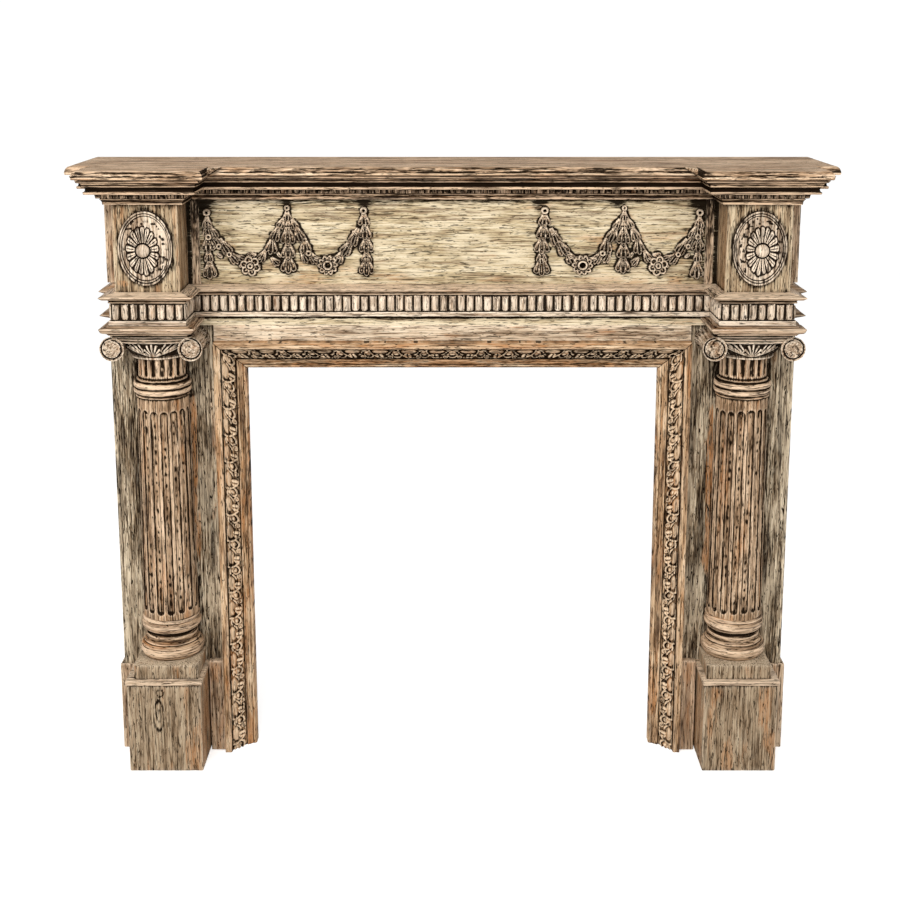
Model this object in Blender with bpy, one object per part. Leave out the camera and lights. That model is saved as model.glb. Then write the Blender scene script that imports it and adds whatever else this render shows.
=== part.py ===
"""Carved wooden fireplace mantelpiece with breakfront ends and engaged Ionic columns.

Metres, +Z up. The front faces -Y and the floor is Z = 0. The origin is on the floor, halfway
between the wall and the foremost edge of the shelf.
In the plan a point is (x, out), where out is the distance in front of the wall.
"""
import math

import bmesh
import bpy
from mathutils import Vector

# Fit between neighbouring pieces
GAP = 0.0003

# Opening and its carved frame
OPENING_WIDTH = 1.031
OPENING_HEIGHT = 1.014
FRAME_WIDTH = 0.075
FRAME_FRONT = 0.256
FRAME_EDGE_FRONT = 0.200
FRAME_BACK = 0.172
LINTEL_REVEAL = 0.0395

# Plan of the legs and the breakfronts
BOARD_THICKNESS = 0.022
BOARD_FRONT = 0.217
PANEL_FRONT = 0.232
BLOCK_FRONT = 0.350
LEG_REVEAL = 0.0415
PLINTH_WIDTH = 0.185
BLOCK_WIDTH = 0.155
OUTER_LAYER = 0.049
BAND_RETURN_SET_BACK = 0.013
BLOCK_WALL = 0.020

# Heights of the courses above the opening, from the bottom up
BLOCK_MOULDING_HEIGHT = 0.0245
BAND_HEIGHT = 0.053
FRIEZE_BASE_HEIGHT = 0.0265
FRIEZE_HEIGHT = 0.209
CORNICE_HEIGHT = 0.0625
SHELF_THICKNESS = 0.0215

# How far each course stands out from the boards behind it
SHELF_OVERHANG = 0.0745
CORNICE_PROJECTION = 0.0665
FRIEZE_BASE_PROJECTION = 0.034
BLOCK_MOULDING_PROJECTION = 0.036
BAND_PROJECTION = 0.0125
FILLET_PROJECTION = 0.016
RETURN_PROJECTION = 0.030

# Shelf edge
NOSE_ROUND_DEPTH = 0.012
NOSE_STEPS = 4

# Reeds of the fluted band
REED_PITCH = 0.0217
REED_RISE = 0.006
FILLET_HEIGHT = 0.012

# Leaves of the frame
LEAF_PITCH = 0.069
LEAF_RISE = 0.010

# Plinths, dies and skirts
PLINTH_HEIGHT = 0.231
PLINTH_CAP_HEIGHT = 0.012
PLINTH_CAP_OVERHANG = 0.0035
PLINTH_FRONT = 0.352
DIE_WIDTH = 0.162
DIE_HEIGHT = 0.037
DIE_FRONT = 0.340
SKIRT_THICKNESS = 0.0245
INNER_SKIRT_HEIGHT = 0.247
OUTER_SKIRT_HEIGHT = 0.233
OUTER_SKIRT_THICKNESS = 0.009
EDGE_WEAR = 0.002

# Columns
COLUMN_OFFSET = 0.005
COLUMN_AXIS = 0.240
SHAFT_FOOT_RADIUS = 0.0692
SHAFT_HEAD_RADIUS = 0.0640
NECK_RADIUS = 0.0580
ASTRAGAL_RADIUS = 0.0690
TORUS_RADIUS = 0.0795
BASE_HEIGHT = 0.106
ASTRAGAL_HEIGHT = 0.0474
NECK_HEIGHT = 0.0513
CAPITAL_HEIGHT = 0.073
FLUTE_COUNT = 16
FLUTE_DEPTH = 0.007
FLUTE_END = 0.016
FLUTE_RUN_OUT = 0.006
FLUTE_HEAD_MARGIN = 0.030
NECK_FLUTE_SHARE = 0.7

# Capitals
CAPITAL_FRONT = 0.342
VOLUTE_RADIUS = 0.0298
VOLUTE_SPACING = 0.188
VOLUTE_STEPS = 14
VOLUTE_DROP = 0.0075
ECHINUS_RADIUS = 0.094
ECHINUS_RIBS = 14
ECHINUS_RIB_DEPTH = 0.004

# Medallions
MEDALLION_WIDTH = 0.131
MEDALLION_HEIGHT = 0.181
MEDALLION_DEPTH = 0.011
PETAL_COUNT = 14
BOSS_HEIGHT = 0.024

# Stiles at the ends of the frieze panel
STILE_INSET = 0.010
STILE_WIDTH = 0.0205
STILE_THICKNESS = 0.004

# Garlands
HUSK_HALF_WIDTH = 0.016
HUSK_CLEARANCE = 0.0015
DROP_SPACING = 0.189
DROP_TOP = 0.014
GARLAND_THICKNESS = 0.020
FLOWER_RADIUS = 0.026
FLOWER_POINTS = 12
SWAG_HUSKS = 6

# Places worked out from the sizes above
HALF_OPENING = OPENING_WIDTH / 2
FRAME_OUTER = HALF_OPENING + FRAME_WIDTH
LEG_CENTRE = FRAME_OUTER + LEG_REVEAL + PLINTH_WIDTH / 2
COLUMN_X = LEG_CENTRE - COLUMN_OFFSET
BLOCK_INNER = LEG_CENTRE - BLOCK_WIDTH / 2
BLOCK_OUTER = LEG_CENTRE + BLOCK_WIDTH / 2
LAYER_OUTER = BLOCK_OUTER + OUTER_LAYER
STILE_INNER = BLOCK_INNER - STILE_INSET - STILE_WIDTH
OUTER_DROP = STILE_INNER - HUSK_CLEARANCE - HUSK_HALF_WIDTH
BAND_RETURN_OUTER = LAYER_OUTER - BAND_RETURN_SET_BACK
Z_COURSES = OPENING_HEIGHT + FRAME_WIDTH + LINTEL_REVEAL
Z_BAND = Z_COURSES + BLOCK_MOULDING_HEIGHT
Z_FRIEZE_BASE = Z_BAND + BAND_HEIGHT
Z_FRIEZE = Z_FRIEZE_BASE + FRIEZE_BASE_HEIGHT
Z_CORNICE = Z_FRIEZE + FRIEZE_HEIGHT
Z_SHELF = Z_CORNICE + CORNICE_HEIGHT
WALL_Y = (BLOCK_FRONT + SHELF_OVERHANG) / 2
Z_DIE = PLINTH_HEIGHT + PLINTH_CAP_HEIGHT
Z_BASE = Z_DIE + DIE_HEIGHT
Z_SHAFT = Z_BASE + BASE_HEIGHT
Z_CAPITAL = Z_COURSES - CAPITAL_HEIGHT
Z_NECK = Z_CAPITAL - NECK_HEIGHT
Z_ASTRAGAL = Z_NECK - ASTRAGAL_HEIGHT

SIDES = (("left", -1), ("right", 1))


# Building tools

def at(x, out, z):
    """A point from its place in the plan and its height."""
    return Vector((x, WALL_Y - out, z))


def step_by(x, out):
    """A level step from its parts along the wall and out from it."""
    return Vector((x, -out, 0.0))


def clear_scene():
    for old in list(bpy.data.objects):
        bpy.data.objects.remove(old, do_unlink=True)


def wood(name, colour, roughness):
    """One wood finish as a Principled BSDF."""
    material = bpy.data.materials.new(name)
    material.use_nodes = True
    shader = material.node_tree.nodes["Principled BSDF"]
    shader.inputs["Base Color"].default_value = (*colour, 1.0)
    shader.inputs["Roughness"].default_value = roughness
    shader.inputs["Metallic"].default_value = 0.0
    return material


def add_object(name, mesh, material, round_angle=None):
    """Turn a bmesh into a named object, with shared corners shaded smooth up to an angle."""
    bmesh.ops.remove_doubles(mesh, verts=mesh.verts, dist=0.00001)
    bmesh.ops.recalc_face_normals(mesh, faces=mesh.faces)
    data = bpy.data.meshes.new(name)
    mesh.to_mesh(data)
    mesh.free()
    data.materials.append(material)
    piece = bpy.data.objects.new(name, data)
    bpy.context.scene.collection.objects.link(piece)
    if round_angle is not None:
        data.shade_smooth()
        data.set_sharp_from_angle(angle=math.radians(round_angle))
    return piece


def loft(mesh, rings):
    """Join closed rings of equal length into one solid with flat ends."""
    loops = [[mesh.verts.new(point) for point in ring] for ring in rings]
    for lower, upper in zip(loops, loops[1:]):
        for i in range(len(lower)):
            j = (i + 1) % len(lower)
            mesh.faces.new((lower[i], lower[j], upper[j], upper[i]))
    mesh.faces.new(list(reversed(loops[0])))
    mesh.faces.new(loops[-1])


def add_loft(name, rings, material, round_angle=None):
    mesh = bmesh.new()
    loft(mesh, rings)
    return add_object(name, mesh, material, round_angle)


def add_board(name, outline, bottom, top, material):
    """A board of any plan outline, standing between two heights."""
    rings = [[at(x, out, z) for x, out in outline] for z in (bottom, top)]
    board = add_loft(name, rings, material)
    wear = board.modifiers.new("worn edges", 'BEVEL')
    wear.width = EDGE_WEAR
    wear.segments = 1
    wear.limit_method = 'ANGLE'
    return board


def rectangle(x0, x1, out0, out1):
    return [(x0, out0), (x1, out0), (x1, out1), (x0, out1)]


def mirrored(outline, side):
    return [(x * side, out) for x, out in outline]


def mitre_vectors(path):
    """For each corner of a plan path, the step that moves it out by one unit of projection."""
    normals = []
    for (x0, out0), (x1, out1) in zip(path, path[1:]):
        length = math.hypot(x1 - x0, out1 - out0)
        normals.append(Vector((-(out1 - out0) / length, (x1 - x0) / length)))
    steps = [normals[0]]
    for before, after in zip(normals, normals[1:]):
        steps.append((before + after) / (1 + before.dot(after)))
    steps.append(normals[-1])
    return steps


def profile_rings(path, profile):
    """The profile, as (projection, z) points, set up at every corner of the path."""
    rings = []
    for (x, out), step in zip(path, mitre_vectors(path)):
        rings.append([at(x + step.x * p, out + step.y * p, z) for p, z in profile])
    return rings


def scaled(shares, width, bottom, height):
    """A profile drawn in shares of its projection and height, brought to size."""
    return [(max(share_out * width, GAP), bottom + share_up * height) for share_out, share_up in shares]


# Plan paths

def breakfront_path(set_back):
    """From the wall round the left set-back, both breakfronts and the right set-back."""
    left = [
        (-set_back, 0.0),
        (-set_back, BOARD_FRONT),
        (-BLOCK_OUTER, BOARD_FRONT),
        (-BLOCK_OUTER, BLOCK_FRONT),
        (-BLOCK_INNER, BLOCK_FRONT),
        (-BLOCK_INNER, PANEL_FRONT),
    ]
    return left + [(-x, out) for x, out in reversed(left)]


def front_path():
    """Round the breakfronts only, stopping beside the band returns."""
    stop = BOARD_FRONT + RETURN_PROJECTION + GAP
    inner = breakfront_path(LAYER_OUTER)[3:-3]
    return [(-BLOCK_OUTER, stop)] + inner + [(BLOCK_OUTER, stop)]


# Shelf and cornice

def make_shelf(material):
    """One board whose edge is a worn quarter round over a small nose."""
    tip = SHELF_OVERHANG
    rise = SHELF_THICKNESS * 0.8
    drop = SHELF_THICKNESS - rise
    levels = [(tip - NOSE_ROUND_DEPTH, 0.0), (tip - drop * 0.6, drop * 0.1)]
    for step in range(NOSE_STEPS + 1):
        turn = math.radians(90) * step / NOSE_STEPS
        inset = NOSE_ROUND_DEPTH * (1 - math.cos(turn))
        levels.append((tip - inset, drop + rise * math.sin(turn)))
    path = breakfront_path(LAYER_OUTER)
    steps = mitre_vectors(path)
    rings = []
    for p, z in levels:
        rings.append([at(x + s.x * p, out + s.y * p, Z_SHELF + z) for (x, out), s in zip(path, steps)])
    add_loft("shelf", rings, material, 50)


def make_cornice(material):
    """Two beads, a fascia with its fillet, and a bed mould below the soffit."""
    shares = [
        (0.00, 0.00), (0.24, 0.00), (0.36, 0.12), (0.36, 0.19), (0.32, 0.23), (0.37, 0.38),
        (0.46, 0.42), (0.80, 0.46), (0.80, 0.57), (0.75, 0.61), (0.75, 0.70), (0.83, 0.75),
        (0.92, 0.78), (0.87, 0.87), (0.98, 0.90), (1.00, 0.95), (0.96, 1.00), (0.00, 1.00),
    ]
    profile = scaled(shares, CORNICE_PROJECTION, Z_CORNICE, CORNICE_HEIGHT - GAP)
    add_loft("cornice", profile_rings(breakfront_path(LAYER_OUTER), profile), material, 35)


# Frieze

def make_frieze_board(material):
    """The panel board, which also carries the courses below the frieze."""
    outline = rectangle(-BLOCK_OUTER, BLOCK_OUTER, BOARD_FRONT + GAP, PANEL_FRONT)
    add_board("frieze_board", outline, Z_COURSES, Z_SHELF - GAP, material)


def make_stile(word, side, material):
    """A narrow strip that closes the end of the panel beside the block."""
    front = PANEL_FRONT + GAP
    outline = rectangle(STILE_INNER, STILE_INNER + STILE_WIDTH, front, front + STILE_THICKNESS)
    add_board("stile_" + word, mirrored(outline, side), Z_FRIEZE + GAP, Z_CORNICE - GAP, material)


def make_frieze_block(word, side, material):
    """A box of three boards, open behind, that carries the breakfront of every course."""
    back = PANEL_FRONT + GAP
    outline = [
        (BLOCK_INNER, back), (BLOCK_INNER, BLOCK_FRONT), (BLOCK_OUTER, BLOCK_FRONT), (BLOCK_OUTER, back),
        (BLOCK_OUTER - BLOCK_WALL, back), (BLOCK_OUTER - BLOCK_WALL, BLOCK_FRONT - BLOCK_WALL),
        (BLOCK_INNER + BLOCK_WALL, BLOCK_FRONT - BLOCK_WALL), (BLOCK_INNER + BLOCK_WALL, back),
    ]
    add_board("frieze_block_" + word, mirrored(outline, side), Z_COURSES + GAP, Z_SHELF - GAP, material)


def corner_outline(outer, front, inner):
    """Two boards joined at a corner: one facing forward, one running back to the wall."""
    return [
        (outer, 0.0), (outer, front), (inner, front), (inner, front - BOARD_THICKNESS),
        (outer - BOARD_THICKNESS, front - BOARD_THICKNESS), (outer - BOARD_THICKNESS, 0.0),
    ]


def make_frieze_return(word, side, material):
    outline = corner_outline(LAYER_OUTER, BOARD_FRONT, BLOCK_OUTER + GAP)
    add_board("frieze_return_" + word, mirrored(outline, side), Z_FRIEZE + GAP, Z_SHELF - GAP, material)


# Courses between the frieze and the columns

def make_frieze_base(material):
    """A sharp moulding that slopes out from the frieze to a nose and back under."""
    shares = [
        (0.00, 0.00), (0.38, 0.00), (0.46, 0.06), (0.46, 0.17), (0.42, 0.23), (0.60, 0.33),
        (0.90, 0.48), (1.00, 0.60), (0.97, 0.70), (0.60, 0.84), (0.30, 0.94), (0.00, 0.985),
    ]
    profile = scaled(shares, FRIEZE_BASE_PROJECTION, Z_FRIEZE_BASE + GAP, FRIEZE_BASE_HEIGHT - GAP)
    add_loft("frieze_base_moulding", profile_rings(front_path(), profile), material)


def make_fluted_band(material):
    """Upright rounded reeds over a fillet, in one run round both breakfronts."""
    bottom, top = Z_BAND, Z_FRIEZE_BASE
    reed_foot = bottom + FILLET_HEIGHT
    ground = BAND_PROJECTION - REED_RISE * 0.5
    profile = [
        (GAP, bottom), (FILLET_PROJECTION, bottom), (FILLET_PROJECTION, reed_foot),
        (ground, reed_foot), (ground, top), (GAP, top),
    ]
    path = front_path()
    corners = profile_rings(path, profile)
    rings = [corners[0]]
    for start, end, here, there in zip(corners, corners[1:], path, path[1:]):
        rings += reed_rings(start, end, here, there)
        rings.append(end)
    add_loft("fluted_band", rings, material)


def reed_rings(start, end, here, there):
    """Rings between two mitred corners: a crest in each reed and a groove between reeds."""
    face = (end[3] - start[3]).length
    count = max(1, round(face / REED_PITCH))
    length = math.hypot(there[0] - here[0], there[1] - here[1])
    outward = step_by(-(there[1] - here[1]) / length, (there[0] - here[0]) / length)
    rings = []
    for step in range(2 * count + 1):
        share = 0.01 + 0.98 * step / (2 * count)
        ring = [a.lerp(b, share) for a, b in zip(start, end)]
        if step % 2:
            for row in (3, 4):
                ring[row] = ring[row] + outward * REED_RISE
        rings.append(ring)
    return rings


def make_block_moulding(word, side, material):
    """The rounded moulding under one breakfront, returned on both sides."""
    shares = [
        (0.00, 0.00), (0.48, 0.06), (0.72, 0.25), (0.92, 0.52), (1.00, 0.74), (0.94, 0.86),
        (0.56, 0.98), (0.00, 0.98),
    ]
    profile = scaled(shares, BLOCK_MOULDING_PROJECTION, Z_COURSES + GAP, BLOCK_MOULDING_HEIGHT - GAP)
    stop = BOARD_FRONT + RETURN_PROJECTION + GAP
    path = [
        (-BLOCK_OUTER, stop), (-BLOCK_OUTER, BLOCK_FRONT),
        (-BLOCK_INNER, BLOCK_FRONT), (-BLOCK_INNER, PANEL_FRONT + GAP),
    ]
    rings = profile_rings(path, profile)
    if side > 0:
        rings = [[Vector((-point.x, point.y, point.z)) for point in ring] for ring in rings]
    add_loft("block_moulding_" + word, rings, material)


def make_band_return(word, side, material):
    """The set-back side of the courses: a flat board between two sharp mouldings."""
    height = Z_FRIEZE - Z_COURSES
    shares = [
        (0.00, 0.00), (0.00, 0.13), (0.93, 0.235), (1.00, 0.255), (0.93, 0.275), (0.00, 0.38),
        (0.00, 0.68), (0.93, 0.815), (1.00, 0.835), (0.93, 0.855), (0.00, 0.96), (0.00, 1.00),
    ]
    front = [(share_out * RETURN_PROJECTION, Z_COURSES + GAP + share_up * (height - GAP))
             for share_out, share_up in shares]
    behind = -BOARD_THICKNESS
    profile = front + [(behind, front[-1][1]), (behind, front[0][1])]
    inner = BLOCK_OUTER + GAP
    path = [(-BAND_RETURN_OUTER, 0.0), (-BAND_RETURN_OUTER, BOARD_FRONT), (-inner, BOARD_FRONT)]
    rings = profile_rings(path, profile)
    if side > 0:
        rings = [[Vector((-point.x, point.y, point.z)) for point in ring] for ring in rings]
    add_loft("band_return_" + word, rings, material)


def make_lintel(material):
    outline = rectangle(-FRAME_OUTER, FRAME_OUTER, PANEL_FRONT - BOARD_THICKNESS, PANEL_FRONT)
    bottom = OPENING_HEIGHT + FRAME_WIDTH + GAP
    add_board("lintel_board", outline, bottom, Z_COURSES - GAP, material)


# Carved frame of the opening

def frame_profile():
    """Across the frame from the opening outward, as (across, out) points."""
    fall = FRAME_FRONT - FRAME_EDGE_FRONT
    return [
        (0.0, FRAME_BACK),
        (0.0, FRAME_EDGE_FRONT),
        (FRAME_WIDTH * 0.12, FRAME_EDGE_FRONT + fall * 0.10),
        (FRAME_WIDTH * 0.29, FRAME_EDGE_FRONT + fall * 0.22),
        (FRAME_WIDTH * 0.33, FRAME_EDGE_FRONT + fall * 0.20),
        (FRAME_WIDTH * 0.53, FRAME_EDGE_FRONT + fall * 0.46),
        (FRAME_WIDTH * 0.72, FRAME_EDGE_FRONT + fall * 0.66),
        (FRAME_WIDTH * 0.75, FRAME_FRONT - fall * 0.04),
        (FRAME_WIDTH * 0.80, FRAME_FRONT),
        (FRAME_WIDTH, FRAME_FRONT),
        (FRAME_WIDTH, FRAME_BACK),
    ]


def leaf_rings(start, end):
    """Rings along one length of frame: each leaf swells, curls over and dips."""
    length = (end[0] - start[0]).length
    count = max(1, round(length / LEAF_PITCH))
    swell = ((0.0, 0.0, 0.1), (0.35, 0.9, 0.3), (0.70, 0.4, 1.0))
    rings = [start]
    for leaf in range(count):
        for place, inner, outer in swell:
            share = (leaf + 0.15 + place) / (count + 0.15)
            ring = [a.lerp(b, share) for a, b in zip(start, end)]
            ring[5] = ring[5] + step_by(0.0, LEAF_RISE * inner)
            ring[6] = ring[6] + step_by(0.0, LEAF_RISE * outer * 0.6)
            rings.append(ring)
    rings.append(end)
    return rings


def make_frame_jamb(word, side, material):
    foot = [at((HALF_OPENING + across) * side, out, 0.0) for across, out in frame_profile()]
    head = [at((HALF_OPENING + across) * side, out, OPENING_HEIGHT + across - GAP)
            for across, out in frame_profile()]
    add_loft("frame_jamb_" + word, leaf_rings(foot, head), material)


def make_frame_head(material):
    left = [at(-HALF_OPENING - across + GAP, out, OPENING_HEIGHT + across)
            for across, out in frame_profile()]
    right = [Vector((-point.x, point.y, point.z)) for point in left]
    add_loft("frame_head", leaf_rings(left, right), material)


# Legs

def make_pilaster_board(word, side, material):
    outline = corner_outline(LAYER_OUTER, BOARD_FRONT, FRAME_OUTER + GAP)
    add_board("pilaster_board_" + word, mirrored(outline, side), 0.0, Z_COURSES - GAP, material)


def make_plinth(word, side, material):
    """A block with a thin cap edge that stands out a little on the front and sides."""
    half = PLINTH_WIDTH / 2
    lip = PLINTH_CAP_OVERHANG
    shapes = []
    for z, grow in ((0.0, 0.0), (PLINTH_HEIGHT - lip, 0.0), (PLINTH_HEIGHT, lip), (Z_DIE, lip)):
        outline = rectangle(LEG_CENTRE - half - grow, LEG_CENTRE + half + grow,
                            BOARD_FRONT + GAP, PLINTH_FRONT + grow)
        shapes.append([at(x * side, out, z) for x, out in outline])
    add_loft("plinth_" + word, shapes, material)


def make_die(word, side, material):
    half = DIE_WIDTH / 2
    outline = rectangle(COLUMN_X - half, COLUMN_X + half, BOARD_FRONT + GAP, DIE_FRONT)
    add_board("die_" + word, mirrored(outline, side), Z_DIE + GAP, Z_BASE, material)


def make_inner_skirt(word, side, material):
    plinth_side = LEG_CENTRE - PLINTH_WIDTH / 2 - PLINTH_CAP_OVERHANG
    outline = rectangle(FRAME_OUTER + GAP, plinth_side - GAP,
                        BOARD_FRONT + GAP, BOARD_FRONT + SKIRT_THICKNESS)
    add_board("skirt_inner_" + word, mirrored(outline, side), 0.0, INNER_SKIRT_HEIGHT, material)


def make_outer_skirt(word, side, material):
    """A thin board round the outer corner of the leg, from the plinth back to the wall."""
    plinth_side = LEG_CENTRE + PLINTH_WIDTH / 2 + PLINTH_CAP_OVERHANG + GAP
    face = LAYER_OUTER + GAP
    front = BOARD_FRONT + GAP
    outline = [
        (face, 0.0), (face + OUTER_SKIRT_THICKNESS, 0.0),
        (face + OUTER_SKIRT_THICKNESS, front + OUTER_SKIRT_THICKNESS),
        (plinth_side, front + OUTER_SKIRT_THICKNESS), (plinth_side, front), (face, front),
    ]
    add_board("skirt_outer_" + word, mirrored(outline, side), 0.0, OUTER_SKIRT_HEIGHT, material)


# Columns, cut flat where they meet the pilaster board

def column_ring(z, radius, side, fluting=0.0, step_angle=11.25):
    """A round ring about the column axis, clipped by the board behind it."""
    behind = COLUMN_AXIS - BOARD_FRONT - GAP
    limit = math.degrees(math.acos(-behind / radius))
    steps = int(88 / step_angle)
    turns = [-limit] + [step_angle * k for k in range(-steps, steps + 1)] + [limit]
    ring = []
    for turn in turns:
        inside = abs(turn) < limit
        groove = fluting if inside and round(turn / step_angle) % 2 else 0.0
        reach = radius - groove
        out = COLUMN_AXIS + reach * math.cos(math.radians(turn))
        ring.append(at((COLUMN_X + reach * math.sin(math.radians(turn))) * side, out, z))
    return ring


def make_column(word, side, material):
    """Fluted shaft, plain band, astragal with its two rings, and a fluted neck."""
    top = Z_ASTRAGAL
    rise = ASTRAGAL_HEIGHT
    flute_top = top - FLUTE_HEAD_MARGIN
    flute_foot = Z_SHAFT + FLUTE_END
    shaft = [
        (Z_SHAFT, SHAFT_FOOT_RADIUS, 0.0),
        (flute_foot, SHAFT_FOOT_RADIUS, 0.0),
        (flute_foot + FLUTE_RUN_OUT, SHAFT_FOOT_RADIUS, FLUTE_DEPTH),
        (flute_top - FLUTE_RUN_OUT, SHAFT_HEAD_RADIUS, FLUTE_DEPTH),
        (flute_top, SHAFT_HEAD_RADIUS, 0.0),
        (top, SHAFT_HEAD_RADIUS, 0.0),
    ]
    ring_radius = (SHAFT_HEAD_RADIUS + ASTRAGAL_RADIUS) / 2
    astragal = [
        (top + rise * 0.02, ring_radius), (top + rise * 0.10, ring_radius),
        (top + rise * 0.14, SHAFT_HEAD_RADIUS), (top + rise * 0.20, ring_radius),
        (top + rise * 0.36, ASTRAGAL_RADIUS), (top + rise * 0.62, ASTRAGAL_RADIUS),
        (top + rise * 0.80, ring_radius), (top + rise * 0.84, SHAFT_HEAD_RADIUS),
        (top + rise * 0.93, SHAFT_HEAD_RADIUS),
    ]
    neck = [
        (Z_NECK, NECK_RADIUS, 0.0),
        (Z_NECK + FLUTE_RUN_OUT, NECK_RADIUS, FLUTE_DEPTH * NECK_FLUTE_SHARE),
        (Z_CAPITAL - FLUTE_RUN_OUT, NECK_RADIUS, FLUTE_DEPTH * NECK_FLUTE_SHARE),
        (Z_CAPITAL - GAP, NECK_RADIUS, 0.0),
    ]
    levels = shaft + [(z, radius, 0.0) for z, radius in astragal] + neck
    step_angle = 180 / FLUTE_COUNT
    rings = [column_ring(z, radius, side, depth, step_angle) for z, radius, depth in levels]
    add_loft("column_" + word, rings, material, 30)


def make_column_base(word, side, material):
    """Two rolls with a hollow between them, under a thin ring."""
    shares = [
        (0.00, 0.92), (0.08, 0.98), (0.18, 1.00), (0.28, 0.97), (0.35, 0.90), (0.52, 0.83),
        (0.60, 0.82), (0.66, 0.90), (0.71, 0.98), (0.78, 1.00), (0.86, 0.97), (0.91, 0.92),
        (1.00, 0.90),
    ]
    height = BASE_HEIGHT - 2 * GAP
    rings = [column_ring(Z_BASE + GAP + up * height, TORUS_RADIUS * size, side, 0.0, 14.6)
             for up, size in shares]
    add_loft("column_base_" + word, rings, material, 60)


# Capitals

def scroll_outline():
    """Front outline of the capital: two volutes joined by a sagging band."""
    centre_z = Z_COURSES - VOLUTE_RADIUS - VOLUTE_DROP
    reach = VOLUTE_SPACING / 2
    points = []
    for step in range(VOLUTE_STEPS + 1):
        turn = math.radians(90 + 300 * step / VOLUTE_STEPS)
        points.append((-reach + VOLUTE_RADIUS * math.cos(turn), centre_z + VOLUTE_RADIUS * math.sin(turn)))
    points.append((0.0, centre_z + VOLUTE_RADIUS * 0.42))
    left = list(points[:-1])
    return points + [(-x, z) for x, z in reversed(left)]


def echinus_rings(side):
    """The ribbed bowl under the band, about the column axis."""
    levels = (
        (0.0, 0.62, 0.0), (0.10, 0.74, 0.0), (0.30, 0.88, ECHINUS_RIB_DEPTH),
        (0.62, 0.99, ECHINUS_RIB_DEPTH), (0.70, 1.0, 0.0),
    )
    rings = []
    for up, size, rib in levels:
        z = Z_CAPITAL + CAPITAL_HEIGHT * up
        rings.append(column_ring(z, ECHINUS_RADIUS * size, side, rib, 180 / ECHINUS_RIBS))
    return rings


def make_capital(word, side, material):
    """Volutes and band in one outline, joined to the bowl by a union."""
    rings = [[at((COLUMN_X + x) * side, out, z) for x, z in scroll_outline()]
             for out in (BOARD_FRONT + GAP, CAPITAL_FRONT)]
    capital = add_loft("capital_" + word, rings, material, 30)
    bowl = add_loft("bowl_" + word, echinus_rings(side), material)
    bowl.hide_render = True
    bowl.display_type = 'WIRE'
    union = capital.modifiers.new("bowl", 'BOOLEAN')
    union.operation = 'UNION'
    union.object = bowl


# Medallions

def make_medallion(word, side, material):
    """An oval rim round a dish, with a ribbed flower and a domed boss."""
    centre_z = Z_FRIEZE + FRIEZE_HEIGHT / 2
    half_width, half_height = MEDALLION_WIDTH / 2, MEDALLION_HEIGHT / 2
    steps = ((0.97, 0.85, 0.0), (0.87, 0.75, 0.0), (0.82, 0.3, 0.0), (0.66, 0.25, 0.0),
             (0.61, 0.6, 0.35), (0.33, 1.0, 0.35))
    count = 2 * PETAL_COUNT

    def ring(size, out_share, rib):
        points = []
        for k in range(count):
            turn = 2 * math.pi * k / count
            reach = size - (0.06 if rib and size > 0.5 and k % 2 else 0.0)
            lift = MEDALLION_DEPTH * (out_share - (rib if k % 2 else 0.0))
            x = LEG_CENTRE * side + half_width * reach * math.sin(turn)
            z = centre_z + half_height * reach * math.cos(turn)
            points.append(at(x, BLOCK_FRONT + GAP + lift, z))
        return points

    def boss_ring(share_out, share_in):
        radius = half_width * 0.24 * share_in
        points = []
        for k in range(count):
            turn = 2 * math.pi * k / count
            out = BLOCK_FRONT + GAP + BOSS_HEIGHT * share_out
            x = LEG_CENTRE * side + radius * math.sin(turn)
            points.append(at(x, out, centre_z + radius * math.cos(turn)))
        return points

    rings = [ring(1.0, 0.0, 0.0)] + [ring(*step) for step in steps]
    rings += [boss_ring(0.62, 1.0), boss_ring(0.95, 0.55)]
    add_loft("medallion_" + word, rings, material, 40)


# Garlands

def half_round(centre, across, width, thickness):
    """A flat-backed rounded ring on the frieze panel, across a given direction."""
    shape = ((-1.0, 0.0), (-0.8, 0.6), (0.0, 1.0), (0.8, 0.6), (1.0, 0.0))
    ring = []
    for place, lift in shape:
        x = centre[0] + across[0] * width * place
        z = centre[1] + across[1] * width * place
        ring.append(at(x, PANEL_FRONT + GAP + lift * thickness, z))
    return ring


def husk_rings(route, widths, thickness):
    """Overlapping husks along a route: each opens out and closes sharply into the next."""
    rings = []
    count = len(widths)
    for k, width in enumerate(widths):
        for share, size in ((0.06, 0.60), (0.86, 1.0)):
            place = (k + share) / count
            x, z = route(place)
            ahead_x, ahead_z = route(place + 0.01)
            length = math.hypot(ahead_x - x, ahead_z - z)
            across = ((ahead_z - z) / length, -(ahead_x - x) / length)
            rings.append(half_round((x, z), across, width * size, thickness * (0.5 + 0.5 * size)))
    return rings


def drop_rings(x, top, bottom, widths):
    def route(place):
        return x, top + (bottom - top) * place

    return husk_rings(route, widths, GARLAND_THICKNESS)


def swag_rings(x0, x1, top, low, count):
    """A hanging swag of husks between two drops."""
    def route(place):
        sag = 1 - (2 * place - 1) ** 2
        return x0 + (x1 - x0) * place, top + (low - top) * sag

    widths = [HUSK_HALF_WIDTH * (0.7 + 0.25 * math.sin(math.pi * (k + 0.5) / count)) for k in range(count)]
    return husk_rings(route, widths, GARLAND_THICKNESS * 0.8)


def flower_rings(x, z, radius):
    """A low lobed flower with a domed eye."""
    rings = []
    for size, lift in ((1.0, 0.0), (1.0, 0.55), (0.6, 0.95), (0.3, 1.05)):
        ring = []
        for k in range(FLOWER_POINTS):
            turn = 2 * math.pi * k / FLOWER_POINTS
            reach = radius * size * (0.86 if k % 2 and size > 0.5 else 1.0)
            out = PANEL_FRONT + GAP + GARLAND_THICKNESS * lift
            ring.append(at(x + reach * math.sin(turn), out, z + reach * math.cos(turn)))
        rings.append(ring)
    return rings


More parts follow.
